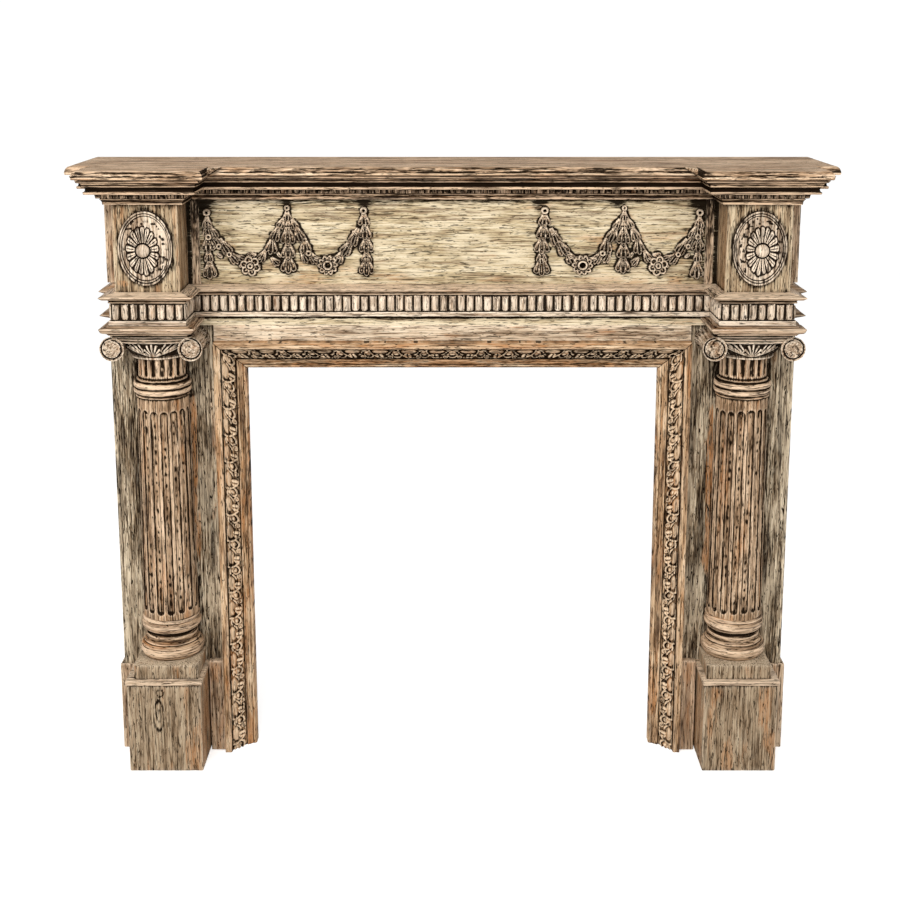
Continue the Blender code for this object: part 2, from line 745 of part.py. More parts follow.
def make_garland(word, side, material):
    """Three drops, two swags and two flowers, joined into one carving."""
    top = Z_CORNICE - DROP_TOP
    reach = FRIEZE_HEIGHT * 0.80
    outer = OUTER_DROP * side
    middle = outer - DROP_SPACING * side
    inner = middle - DROP_SPACING * side
    narrow = [HUSK_HALF_WIDTH * share for share in (0.60, 0.85, 0.95, 1.00, 1.00, 0.90)]
    wide = [HUSK_HALF_WIDTH * share for share in (0.75, 1.25, 1.75, 2.00, 1.50, 1.05)]
    swag_top, swag_low = top - reach * 0.32, top - reach * 0.86
    pieces = [
        drop_rings(middle, top, top - reach * 0.95, wide),
        drop_rings(inner, top, top - reach, narrow),
        drop_rings(outer, top, top - reach, narrow),
        swag_rings(inner, middle, swag_top, swag_low, SWAG_HUSKS),
        swag_rings(middle, outer, swag_top, swag_low, SWAG_HUSKS),
        flower_rings((inner + middle) / 2, swag_low, FLOWER_RADIUS),
        flower_rings((outer + middle) / 2, swag_low, FLOWER_RADIUS),
    ]
    garland = add_loft("garland_" + word, pieces[0], material)
    for number, rings in enumerate(pieces[1:]):
        for point in (point for ring in rings for point in ring):
            point.y -= GAP * (number + 1)
        piece = add_loft("garland_piece_%s_%d" % (word, number), rings, material)
        piece.hide_render = True
        piece.display_type = 'WIRE'
        union = garland.modifiers.new("join %d" % number, 'BOOLEAN')
        union.operation = 'UNION'
        union.object = piece


def build():
    clear_scene()
    brown = wood("brown_wood", (0.38, 0.25, 0.15), 0.62)
    cream = wood("cream_wood", (0.60, 0.50, 0.33), 0.66)
    grey = wood("grey_wood", (0.36, 0.31, 0.22), 0.68)
    tan = wood("tan_wood", (0.47, 0.33, 0.21), 0.62)
    carving = wood("carving_wood", (0.50, 0.38, 0.24), 0.60)

    make_shelf(brown)
    make_cornice(tan)
    make_frieze_board(cream)
    make_frieze_base(tan)
    make_fluted_band(carving)
    make_lintel(tan)
    make_frame_head(tan)
    for word, side in SIDES:
        make_frieze_block(word, side, cream)
        make_stile(word, side, cream)
        make_frieze_return(word, side, brown)
        make_block_moulding(word, side, tan)
        make_band_return(word, side, brown)
        make_frame_jamb(word, side, tan)
        make_pilaster_board(word, side, grey)
        make_plinth(word, side, brown)
        make_die(word, side, tan)
        make_inner_skirt(word, side, brown)
        make_outer_skirt(word, side, brown)
        make_column(word, side, tan)
        make_column_base(word, side, tan)
        make_capital(word, side, carving)
        make_medallion(word, side, carving)
        make_garland(word, side, carving)


build()
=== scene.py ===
import math

import bmesh
import bpy
import numpy as np
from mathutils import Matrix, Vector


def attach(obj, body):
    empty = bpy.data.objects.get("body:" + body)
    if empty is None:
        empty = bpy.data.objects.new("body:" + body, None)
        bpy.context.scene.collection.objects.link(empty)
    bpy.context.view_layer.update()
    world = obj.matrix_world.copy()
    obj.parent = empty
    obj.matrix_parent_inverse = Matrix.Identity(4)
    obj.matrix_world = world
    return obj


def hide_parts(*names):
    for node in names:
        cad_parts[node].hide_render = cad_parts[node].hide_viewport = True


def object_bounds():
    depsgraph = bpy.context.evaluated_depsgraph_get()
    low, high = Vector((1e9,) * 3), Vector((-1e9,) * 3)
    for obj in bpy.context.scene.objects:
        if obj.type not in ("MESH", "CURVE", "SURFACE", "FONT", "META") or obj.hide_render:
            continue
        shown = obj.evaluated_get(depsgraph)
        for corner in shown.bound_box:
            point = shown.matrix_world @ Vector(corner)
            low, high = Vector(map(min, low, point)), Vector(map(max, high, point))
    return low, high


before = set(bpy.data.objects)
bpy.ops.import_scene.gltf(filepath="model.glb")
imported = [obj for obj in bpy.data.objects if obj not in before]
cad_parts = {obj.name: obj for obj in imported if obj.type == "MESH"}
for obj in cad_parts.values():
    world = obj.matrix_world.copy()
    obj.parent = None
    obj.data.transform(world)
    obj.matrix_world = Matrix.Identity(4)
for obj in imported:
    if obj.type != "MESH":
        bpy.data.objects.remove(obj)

CAD_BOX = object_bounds()

# The mantelpiece stands on the floor, Z = 0, and faces -Y. In the plan a point is (x, out),
# where out is the distance in front of the wall. All lengths are in metres.
WALL_Y = CAD_BOX[1].y
GAP = 0.0003

# Plan of the opening, the legs and the breakfronts
HALF_OPENING = 0.5155
FRAME_OUTER = 0.5905
LEG_CENTRE = 0.7245
COLUMN_X = 0.7195
BLOCK_INNER = 0.647
BLOCK_OUTER = 0.802
LAYER_OUTER = 0.851
BAND_RETURN_OUTER = 0.838
BOARD_THICKNESS = 0.022
BOARD_FRONT = 0.217
PANEL_FRONT = 0.232
BLOCK_FRONT = 0.350
BLOCK_WALL = 0.020
SHELF_REACH = 0.0745
DIE_HALF = 0.081
DIE_FRONT = 0.340
PLINTH_HALF = 0.0925
PLINTH_FRONT = 0.352
CAP_LIP = 0.0035
STILE_INNER = 0.6165
STILE_OUTER = 0.637

# Heights
OPENING_HEIGHT = 1.014
FRAME_WIDTH = 0.075
Z_PLINTH = 0.2315
Z_INNER_SKIRT = 0.247
Z_OUTER_SKIRT = 0.233
Z_DIE = 0.243
Z_BASE = 0.280
Z_SHAFT = 0.386
Z_ASTRAGAL = 0.9568
Z_NECK = 1.0042
Z_CAPITAL = 1.0555
Z_COURSES = 1.1285
Z_BAND = 1.153
Z_FRIEZE_BASE = 1.206
Z_FRIEZE = 1.2325
Z_CORNICE = 1.4415
Z_SHELF = 1.504
Z_TOP = 1.5255
MEDALLION_Z = Z_FRIEZE + 0.1045

SIDES = (("left", -1), ("right", 1))


# Building tools

def place(x, out, z):
    """Points from their places in the plan and their heights."""
    x, out, z = np.broadcast_arrays(np.asarray(x, float), out, z)
    return np.stack((x, WALL_Y - out, z), axis=-1)


def rough(points, size, seed=0):
    """Smooth random values from -1 to 1 at each point, changing over a given distance."""
    spots = np.asarray(points, float) / size + 17.3 * seed
    cell = np.floor(spots).astype(np.int64)
    part = spots - cell
    part = part * part * (3 - 2 * part)
    total = np.zeros(spots.shape[:-1])
    for corner in range(8):
        step = np.array((corner & 1, corner >> 1 & 1, corner >> 2 & 1))
        mixed = (cell + step) * np.array((73856093, 19349663, 83492791))
        mixed = (mixed[..., 0] ^ mixed[..., 1] ^ mixed[..., 2]) & 0x7FFFFFFF
        mixed = (mixed * 1103515245 + 12345) & 0x7FFFFFFF
        mixed = ((mixed >> 8) * 1103515245 + 12345) & 0x7FFFFFFF
        value = (mixed >> 9) / float(1 << 21) - 1
        weight = np.prod(np.where(step == 1, part, 1 - part), axis=-1)
        total += value * weight
    return total


def smooth_step(low, high, value):
    share = np.clip((value - low) / (high - low), 0, 1)
    return share * share * (3 - 2 * share)


def soften(field, reach):
    """A running average over a few points each way, along both directions of a grid."""
    for axis in (0, 1):
        pad = [(0, 0), (0, 0)]
        pad[axis] = (reach, reach)
        padded = np.pad(field, pad, mode="edge")
        sums = np.cumsum(padded, axis=axis)
        first = np.take(sums, [0], axis=axis) * 0
        sums = np.concatenate((first, sums), axis=axis)
        size = field.shape[axis]
        upper = np.take(sums, range(2 * reach + 1, 2 * reach + 1 + size), axis=axis)
        lower = np.take(sums, range(size), axis=axis)
        field = (upper - lower) / (2 * reach + 1)
    return field


def shading_of(field, reach, depth):
    """How far each point of a relief lies under and over its surroundings."""
    level = soften(soften(field, reach), reach)
    return np.clip((level - field) / depth, 0, 1), np.clip((field - level) / depth, 0, 1)


def grid_faces(rows, columns, wrap=False):
    """Quads between the rows of a grid of points numbered row by row."""
    last = columns if wrap else columns - 1
    i, j = np.meshgrid(np.arange(rows - 1), np.arange(last), indexing="ij")
    k = (j + 1) % columns
    quads = np.stack((i * columns + j, i * columns + k, (i + 1) * columns + k, (i + 1) * columns + j), -1)
    return quads.reshape(-1, 4).tolist()


def new_object(name, data):
    item = bpy.data.objects.new(name, data)
    bpy.context.scene.collection.objects.link(item)
    return item


def face_outward(mesh, flat_back=None):
    """Turn all faces outward, and join the faces of a flat back."""
    shell = bmesh.new()
    shell.from_mesh(mesh)
    bmesh.ops.recalc_face_normals(shell, faces=shell.faces)
    if flat_back is not None:
        edges = [edge for edge in shell.edges
                 if all(abs(end.co.y - flat_back) < 1e-6 for end in edge.verts)]
        bmesh.ops.dissolve_limit(shell, angle_limit=0.01, verts=[], edges=edges)
    shell.to_mesh(mesh)
    shell.free()


def finish_piece(name, points, faces, grain, glaze_and_shade, wear_and_highlight, wood, replaced, crease=40, stain=None,
                 wood_index=None, flat_back=None):
    """A closed piece with its grain, its glaze and painted shade, its rubbed edges and painted highlights,
    and stain kept on its points.
    """
    mesh = bpy.data.meshes.new(name)
    mesh.from_pydata(np.reshape(points, (-1, 3)).tolist(), [], faces)
    if wood_index is not None:
        mesh.polygons.foreach_set("material_index", wood_index)
    kept = [("grain", 'FLOAT_VECTOR', "vector", grain), ("glaze_and_shade", 'FLOAT', "value", glaze_and_shade),
            ("wear_and_highlight", 'FLOAT', "value", wear_and_highlight)]
    if stain is not None:
        kept.append(("stain", 'FLOAT', "value", stain))
    for word, kind, key, values in kept:
        stored = mesh.attributes.new(word, kind, 'POINT')
        stored.data.foreach_set(key, np.ravel(np.asarray(values, np.float32)))
    face_outward(mesh, flat_back)
    mesh.shade_smooth()
    mesh.set_sharp_from_angle(angle=math.radians(crease))
    item = new_object(name, mesh)
    mesh.materials.append(wood)
    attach(item, "root")
    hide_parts(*replaced)
    return item


def shell_faces(rows, columns):
    """Quads of a closed tube of rings, with a flat face at each end."""
    faces = grid_faces(rows, columns, wrap=True)
    faces.append(list(range(columns)))
    faces.append(list(range((rows - 1) * columns, rows * columns)))
    return faces


# Woods

# Near black, for glaze and for painted shade.
GLAZE_AND_SHADE = (0.008, 0.0045, 0.0025)
BURNT = (0.46, 0.185, 0.050)


def wood(name, tones, lime, orange, glaze, gloss, lined=0.45):
    """Old limed wood, from dark late wood to pale lime: short streaks and fine lines along the grain,
    orange where the stain shows, black glaze in pores, scratches and sunk places, and rubbed high places.
    The black also takes painted shade, and the rubbed pale also takes painted highlights."""
    dark, middle, light, pale = tones
    material = bpy.data.materials.new(name)
    material.use_nodes = True
    tree = material.node_tree
    shader = tree.nodes["Principled BSDF"]
    shader.inputs["Metallic"].default_value = 0.0

    def add(kind, **values):
        """A node with some of its inputs set by name."""
        node = tree.nodes.new("ShaderNode" + kind)
        for word, value in values.items():
            node.inputs[word.replace("_", " ")].default_value = value
        return node

    def attribute(word):
        node = add("Attribute")
        node.attribute_name = word
        return node

    def noise_of(along, across, detail, rough_value, distortion, shift):
        mapping = add("Mapping", Scale=(along, across, across), Location=(shift, shift * 0.7, shift * 1.3))
        tree.links.new(grain.outputs["Vector"], mapping.inputs["Vector"])
        node = add("TexNoise", Scale=1.0, Detail=detail, Roughness=rough_value, Distortion=distortion)
        tree.links.new(mapping.outputs["Vector"], node.inputs["Vector"])
        return node.outputs["Fac"]

    def ramp(value, low, high, top=1.0):
        node = add("MapRange", From_Min=low, From_Max=high, To_Max=top)
        node.interpolation_type = 'SMOOTHSTEP'
        tree.links.new(value, node.inputs["Value"])
        return node.outputs["Result"]

    def math_of(operation, first, second):
        node = add("Math")
        node.operation = operation
        for socket, value in zip(node.inputs, (first, second)):
            if isinstance(value, float):
                socket.default_value = value
            else:
                tree.links.new(value, socket)
        return node.outputs[0]

    def plus(first, second):
        return math_of('ADD', first, second)

    def minus(first, second):
        return math_of('SUBTRACT', first, second)

    def times(first, second):
        return math_of('MULTIPLY', first, second)

    def mix(factor, first, second):
        node = add("Mix")
        node.data_type = 'RGBA'
        tree.links.new(factor, node.inputs["Factor"])
        for socket, value in ((node.inputs[6], first), (node.inputs[7], second)):
            if isinstance(value, tuple):
                socket.default_value = (*value, 1.0)
            else:
                tree.links.new(value, socket)
        return node.outputs[2]

    grain = attribute("grain")
    glaze_and_shade = attribute("glaze_and_shade").outputs["Fac"]
    wear_and_highlight = attribute("wear_and_highlight").outputs["Fac"]
    stain = attribute("stain").outputs["Fac"]
    streak = noise_of(10.0, 215.0, 4.0, 0.72, 0.35, 0.0)
    line = noise_of(20.0, 400.0, 2.0, 0.60, 0.25, 7.7)
    band = noise_of(3.6, 44.0, 3.0, 0.62, 0.4, 3.1)
    patch = noise_of(5.0, 15.0, 3.0, 0.62, 0.6, 11.0)
    dash = noise_of(42.0, 310.0, 2.0, 0.70, 0.6, 5.3)
    warm = plus(noise_of(5.0, 30.0, 2.0, 0.55, 0.6, 19.0), times(stain, 0.3))

    stops = add("ValToRGB")
    stops.color_ramp.interpolation = 'LINEAR'
    for end, position, colour in ((0, 0.420, dark), (1, 0.590, pale)):
        stops.color_ramp.elements[end].position = position
        stops.color_ramp.elements[end].color = (*colour, 1.0)
    for position, colour in ((0.468, middle), (0.522, light)):
        stops.color_ramp.elements.new(position).color = (*colour, 1.0)
    tree.links.new(plus(times(streak, 0.60), times(band, 0.40)), stops.inputs["Fac"])
    limed = times(ramp(patch, 0.44, 0.60, lime), ramp(streak, 0.36, 0.54))
    coat = mix(limed, stops.outputs["Color"], pale)
    coat = mix(times(ramp(warm, 0.55, 0.68, orange), ramp(line, 0.34, 0.56)), coat, BURNT)
    coat = mix(ramp(line, 0.56, 0.70, 0.45), coat, pale)
    # The rubbed pale also brings in painted highlights given on the points.
    rubbed = times(wear_and_highlight, ramp(streak, 0.34, 0.52, 0.85))
    coat = mix(rubbed, coat, tuple(min(1.0, value * 1.15 + 0.05) for value in pale))
    scratch = times(ramp(line, lined, lined - 0.10), ramp(patch, 0.66, 0.40, glaze))
    scratch = math_of('MAXIMUM', scratch, ramp(dash, 0.585, 0.63, glaze))
    # This darkening also brings in painted shade given on the points.
    darkening = plus(glaze_and_shade, times(minus(dash, 0.5), 1.5))
    darkening = plus(darkening, times(minus(0.5, streak), 1.0))
    black = math_of('MAXIMUM', scratch, ramp(darkening, 0.14, 0.66, 0.98))
    tree.links.new(mix(black, coat, GLAZE_AND_SHADE), shader.inputs["Base Color"])
    tree.links.new(ramp(black, 1.0, 0.0, 0.28), shader.inputs["Specular IOR Level"])

    sheen = add("MapRange", From_Min=0.3, From_Max=1.2, To_Min=gloss + 0.16, To_Max=gloss - 0.12)
    tree.links.new(plus(times(wear_and_highlight, 0.6), streak), sheen.inputs["Value"])
    tree.links.new(sheen.outputs["Result"], shader.inputs["Roughness"])

    bump = add("Bump", Strength=0.6, Distance=0.0012)
    tree.links.new(minus(plus(streak, times(line, 0.5)), scratch), bump.inputs["Height"])
    tree.links.new(bump.outputs["Normal"], shader.inputs["Normal"])
    return material


BROWN = wood("brown_shelf_wood",
             ((0.10, 0.054, 0.025), (0.40, 0.246, 0.136), (0.63, 0.415, 0.248), (0.90, 0.670, 0.460)),
             lime=0.3, orange=0.40, glaze=0.80, gloss=0.50)
CORNICE_WOOD = wood("dark_cornice_wood",
                    ((0.020, 0.009, 0.003), (0.060, 0.029, 0.011), (0.145, 0.075, 0.032),
                     (0.66, 0.46, 0.29)),
                    lime=0.0, orange=0.25, glaze=0.9, gloss=0.46)
TAN = wood("tan_moulding_wood",
           ((0.085, 0.045, 0.021), (0.25, 0.148, 0.078), (0.43, 0.285, 0.170), (0.68, 0.520, 0.360)),
           lime=0.3, orange=0.45, glaze=0.85, gloss=0.48)
LINTEL_WOOD = wood("lintel_wood",
                   ((0.20, 0.128, 0.072), (0.44, 0.315, 0.200), (0.62, 0.475, 0.325), (0.80, 0.67, 0.50)),
                   lime=0.5, orange=0.5, glaze=0.8, gloss=0.54)
CREAM = wood("cream_frieze_wood",
             ((0.24, 0.165, 0.090), (0.46, 0.352, 0.200), (0.58, 0.468, 0.285), (0.74, 0.635, 0.450)),
             lime=0.6, orange=0.4, glaze=0.8, gloss=0.56)
BLOCK_WOOD = wood("block_wood",
                  ((0.15, 0.092, 0.046), (0.28, 0.186, 0.100), (0.38, 0.270, 0.158), (0.62, 0.490, 0.320)),
                  lime=0.35, orange=0.4, glaze=0.85, gloss=0.54)
GREY = wood("grey_board_wood",
            ((0.030, 0.017, 0.007), (0.130, 0.084, 0.042), (0.32, 0.232, 0.142), (0.72, 0.60, 0.43)),
            lime=0.45, orange=0.8, glaze=1.0, gloss=0.60, lined=0.485)
PLINTH = wood("plinth_wood",
              ((0.095, 0.056, 0.026), (0.22, 0.145, 0.080), (0.33, 0.235, 0.143), (0.48, 0.375, 0.252)),
              lime=0.4, orange=0.5, glaze=0.9, gloss=0.56)
SHAFT = wood("shaft_wood",
             ((0.070, 0.036, 0.015), (0.24, 0.138, 0.068), (0.41, 0.260, 0.145), (0.70, 0.51, 0.34)),
             lime=0.3, orange=0.62, glaze=0.9, gloss=0.50)
CARVED = wood("carved_wood",
              ((0.12, 0.070, 0.036), (0.33, 0.222, 0.135), (0.53, 0.392, 0.265), (0.80, 0.67, 0.52)),
              lime=0.4, orange=0.3, glaze=0.8, gloss=0.46)
GARLAND_WOOD = wood("garland_wood",
                    ((0.16, 0.092, 0.047), (0.40, 0.272, 0.162), (0.60, 0.445, 0.295), (0.84, 0.68, 0.51)),
                    lime=0.5, orange=0.35, glaze=0.8, gloss=0.50)
FRAME_WOOD = wood("frame_wood",
                  ((0.10, 0.050, 0.020), (0.28, 0.152, 0.068), (0.45, 0.270, 0.135), (0.74, 0.55, 0.36)),
                  lime=0.15, orange=0.65, glaze=0.85, gloss=0.46)


# Boards with worn edges

def inward_steps(outline):
    """For each corner of a closed outline, the step that moves it in by one unit."""
    points = np.array(outline, float)
    ahead = np.roll(points, -1, axis=0) - points
    ahead /= np.linalg.norm(ahead, axis=1)[:, None]
    area = np.sum(points[:, 0] * np.roll(points[:, 1], -1) - np.roll(points[:, 0], -1) * points[:, 1])
    turn = 1.0 if area > 0 else -1.0
    normal = np.stack((-ahead[:, 1], ahead[:, 0]), -1) * turn
    before = np.roll(normal, 1, axis=0)
    share = 1 + np.sum(before * normal, axis=1)
    return points, normal, (before + normal) / share[:, None], turn


def spread(length, ends, spacing):
    """Places along a length, close together near both ends."""
    near = [share for share in ends if share < length * 0.45]
    start = near[-1] if near else 0.0
    count = max(1, int(math.ceil((length - 2 * start) / spacing)))
    middle = np.linspace(start, length - start, count + 1)
    return np.concatenate((near[:-1], middle, [length - share for share in reversed(near[:-1])]))


def board(name, outline, bottom, top, wood_used, replaced, grain_axis, seed, radius=0.0022, dents=0.0012,
          spacing=0.010, gloom=None, warmth=None):
    """A board of any plan outline between two heights, its corners rounded, dented and rubbed."""
    corners, normals, steps, turn = inward_steps(outline)
    count = len(corners)
    places, inward, edge = [], [], []
    for k in range(count):
        start, stop = corners[k], corners[(k + 1) % count]
        length = np.linalg.norm(stop - start)
        along = (stop - start) / length
        past = corners[k] - corners[k - 1]
        bend = (past[0] * along[1] - past[1] * along[0]) * turn > 0
        for s in spread(length, (radius, 0.006, 0.014), spacing)[:-1]:
            if s == radius:
                places.append(start + steps[k] * radius * 0.42)
                inward.append((normals[k] + normals[k - 1]) / 1.42)
                edge.append(1.0 if bend else -1.0)
            near = min(s, length - s)
            places.append(start + along * s)
            inward.append(normals[k])
            edge.append(math.exp(-near / 0.004) if bend else 0.0)
        places.append(stop - along * radius)
        inward.append(normals[k])
        edge.append(0.6)
    places, inward, edge = np.array(places), np.array(inward), np.array(edge)
    heights = spread(top - bottom, (radius * 0.35, radius, 0.006, 0.014), spacing)
    levels = [(0.0, radius)]
    for z in heights:
        near = min(z, top - bottom - z)
        levels.append((z, radius * 0.30 if near < radius * 0.5 else 0.0))
    levels.append((top - bottom, radius))
    rings, glaze_and_shade_rows, wear_and_highlight_rows, stains = [], [], [], []
    for z, inset in levels:
        ring = places + inward * inset
        spot = place(ring[:, 0], ring[:, 1], bottom + z)
        near = min(z, top - bottom - z)
        closeness = np.maximum(np.abs(edge), math.exp(-near / 0.004))
        lumps = rough(spot, 0.018, seed) + rough(spot, 0.006, seed + 1)
        worn = dents * closeness ** 2 * np.clip(lumps - 0.2, 0, 1.2)
        ring = ring + inward * worn[:, None]
        rings.append(place(ring[:, 0], ring[:, 1], bottom + z))
        # gloom brings painted shade and dark glaze by place, warmth the warm stain.
        dark = gloom(np.abs(ring[:, 0]), bottom + z, ring[:, 1]) if gloom else 0.0
        stains.append(warmth(ring[:, 0], bottom + z, ring[:, 1]) if warmth else ring[:, 0] * 0)
        glaze_and_shade_rows.append(np.clip(np.maximum(-edge, dark), 0, 1))
        wear_and_highlight_rows.append(np.clip(np.where(edge < 0, 0, closeness), 0, 1))
    points = np.array(rings)
    order = {"z": (2, 0, 1), "x": (0, 2, 1), "out": (1, 2, 0)}[grain_axis]
    grain = points.reshape(-1, 3)[:, order] + np.array((seed * 3.1, seed * 1.7, 0.0))
    faces = shell_faces(len(levels), len(places))
    return finish_piece(name, points, faces, grain, np.ravel(glaze_and_shade_rows), np.ravel(wear_and_highlight_rows), wood_used, replaced,
                        stain=np.ravel(stains))


def rectangle(x0, x1, out0, out1):
    return [(x0, out0), (x1, out0), (x1, out1), (x0, out1)]


def mirrored(outline, side):
    return [(x * side, out) for x, out in outline]


def corner_outline(outer, front, inner):
    return [
        (outer, 0.0), (outer, front), (inner, front), (inner, front - BOARD_THICKNESS),
        (outer - BOARD_THICKNESS, front - BOARD_THICKNESS), (outer - BOARD_THICKNESS, 0.0),
    ]


# Mouldings run along a plan path

INNER_SHADE = 0.24


def trace(start, *moves):
    """A profile from straight moves (p, z) and arcs (p, z, bulge), as an array of points."""
    points = [start]
    for move in moves:
        p0, z0 = points[-1]
        p1, z1 = move[:2]
        if len(move) == 3:
            normal = (z1 - z0, -(p1 - p0))
            for k in range(1, 7):
                share = k / 7
                lift = move[2] * 4 * share * (1 - share)
                points.append((p0 + (p1 - p0) * share + normal[0] * lift,
                               z0 + (z1 - z0) * share + normal[1] * lift))
        points.append((p1, z1))
    return np.array(points)


def fine_profile(profile, spacing):
    """A closed profile cut into short steps, with how sunk and how proud each point lies."""
    points = []
    for start, stop in zip(profile, np.roll(profile, -1, axis=0)):
        length = np.linalg.norm(stop - start)
        hidden = start[0] < 0.002 and stop[0] < 0.002
        count = 1 if hidden else max(1, int(round(length / spacing)))
        points += [start + (stop - start) * k / count for k in range(count)]
    points = np.array(points)
    area = np.sum(points[:, 0] * np.roll(points[:, 1], -1) - np.roll(points[:, 0], -1) * points[:, 1])
    ahead = np.roll(points, -1, axis=0) - np.roll(points, 1, axis=0)
    normal = np.stack((ahead[:, 1], -ahead[:, 0]), -1) * (1 if area > 0 else -1)
    normal /= np.maximum(np.linalg.norm(normal, axis=1), 1e-9)[:, None]
    level = points.copy()
    for _ in range(8):
        level = (np.roll(level, 1, axis=0) + 2 * level + np.roll(level, -1, axis=0)) / 4
    proud = np.sum((points - level) * normal, axis=1) / 0.0011
    return points, normal, np.clip(-proud, 0, 1), np.clip(proud, 0, 1)


def mitre_steps(path):
    path = np.array(path, float)
    ahead = np.diff(path, axis=0)
    ahead /= np.linalg.norm(ahead, axis=1)[:, None]
    normal = np.stack((-ahead[:, 1], ahead[:, 0]), -1)
    steps = [normal[0]]
    for before, after in zip(normal, normal[1:]):
        steps.append((before + after) / (1 + before.dot(after)))
    return path, np.array(steps + [normal[-1]])


def moulding(name, path, profile, wood_used, replaced, seed, side=-1, spacing=0.010, fineness=0.0017,
             wobble=0.0005, chips=0.0016, gloom=None, painted_highlight=None):
    """A profile carried round the path with mitred corners and the small waves and chips of old work."""
    path, steps = mitre_steps(path)
    points, normal, glaze_and_shade, wear_and_highlight = fine_profile(profile, fineness)
    shown = points[:, 0] > 0.002
    seam_width = 0.0012
    stations = [(0, 0.0, 0.0, 0.0)]
    run = 0.0
    for k in range(len(path) - 1):
        length = np.linalg.norm(path[k + 1] - path[k])
        stations += [(k, s / length, run + s, 0.0) for s in spread(length, (seam_width, 0.006), spacing)[:-1]]
        stations.append((k, 1 - seam_width / length, run + length - seam_width, 0.0))
        stations.append((k, 1.0, run + length, 0.8 if k < len(path) - 2 else 0.0))
        run += length
    rows, glaze_and_shade_rows, wear_and_highlight_rows, grains = [], [], [], []
    arc = np.concatenate(([0], np.cumsum(np.linalg.norm(np.diff(points, axis=0), axis=1))))
    ahead = np.diff(path, axis=0)
    # Inner returns get painted shade; gloom adds painted shade and the highlight function a painted
    # highlight, both by height.
    inward = (ahead[:, 1] * path[:-1, 0] > 0.01) * INNER_SHADE
    flat = np.zeros(len(points))
    dark = gloom(points[:, 1]) if gloom else flat
    bright = painted_highlight(points[:, 1]) if painted_highlight else flat
    for k, share, s, seam in stations:
        where = np.stack((flat + s, arc, flat + seed * 5.0), -1)
        shift = wobble * (rough(where, 0.05, seed) + 0.5 * rough(where, 0.012, seed + 3))
        chip = chips * wear_and_highlight ** 2 * np.clip(rough(where * (1, 0.2, 1), 0.022, seed + 5)
                                           + 0.8 * rough(where, 0.007, seed + 7) - 0.35, 0, 1)
        shift = np.where(shown, shift - wobble - chip, 0.0)
        p = points[:, 0] + normal[:, 0] * shift
        z = points[:, 1] + normal[:, 1] * shift
        base = path[k] + (path[k + 1] - path[k]) * share
        step = steps[k] + (steps[k + 1] - steps[k]) * share
        x = (base[0] + step[0] * p) * (-side)
        rows.append(place(x, base[1] + step[1] * p, z))
        glaze_and_shade_rows.append(np.clip(glaze_and_shade + seam * shown + inward[k] + dark, 0, 1))
        wear_and_highlight_rows.append(np.where(shown, np.clip(wear_and_highlight + bright, 0, 1), 0))
        grains.append(np.stack((flat + s, arc, flat + seed * 1.3), -1))
    rows = np.array(rows)
    faces = shell_faces(len(rows), len(points))
    return finish_piece(name, rows, faces, np.array(grains), np.array(glaze_and_shade_rows), np.array(wear_and_highlight_rows),
                        wood_used, replaced, 32)


def breakfront_path(set_back):
    left = [(-set_back, 0.0), (-set_back, BOARD_FRONT), (-BLOCK_OUTER, BOARD_FRONT),
            (-BLOCK_OUTER, BLOCK_FRONT), (-BLOCK_INNER, BLOCK_FRONT), (-BLOCK_INNER, PANEL_FRONT)]
    return left + [(-x, out) for x, out in reversed(left)]


RETURN_STOP = BOARD_FRONT + 0.0303
FRONT_PATH = [(-BLOCK_OUTER, RETURN_STOP)] + breakfront_path(LAYER_OUTER)[3:-3]
FRONT_PATH += [(BLOCK_OUTER, RETURN_STOP)]


# Shelf

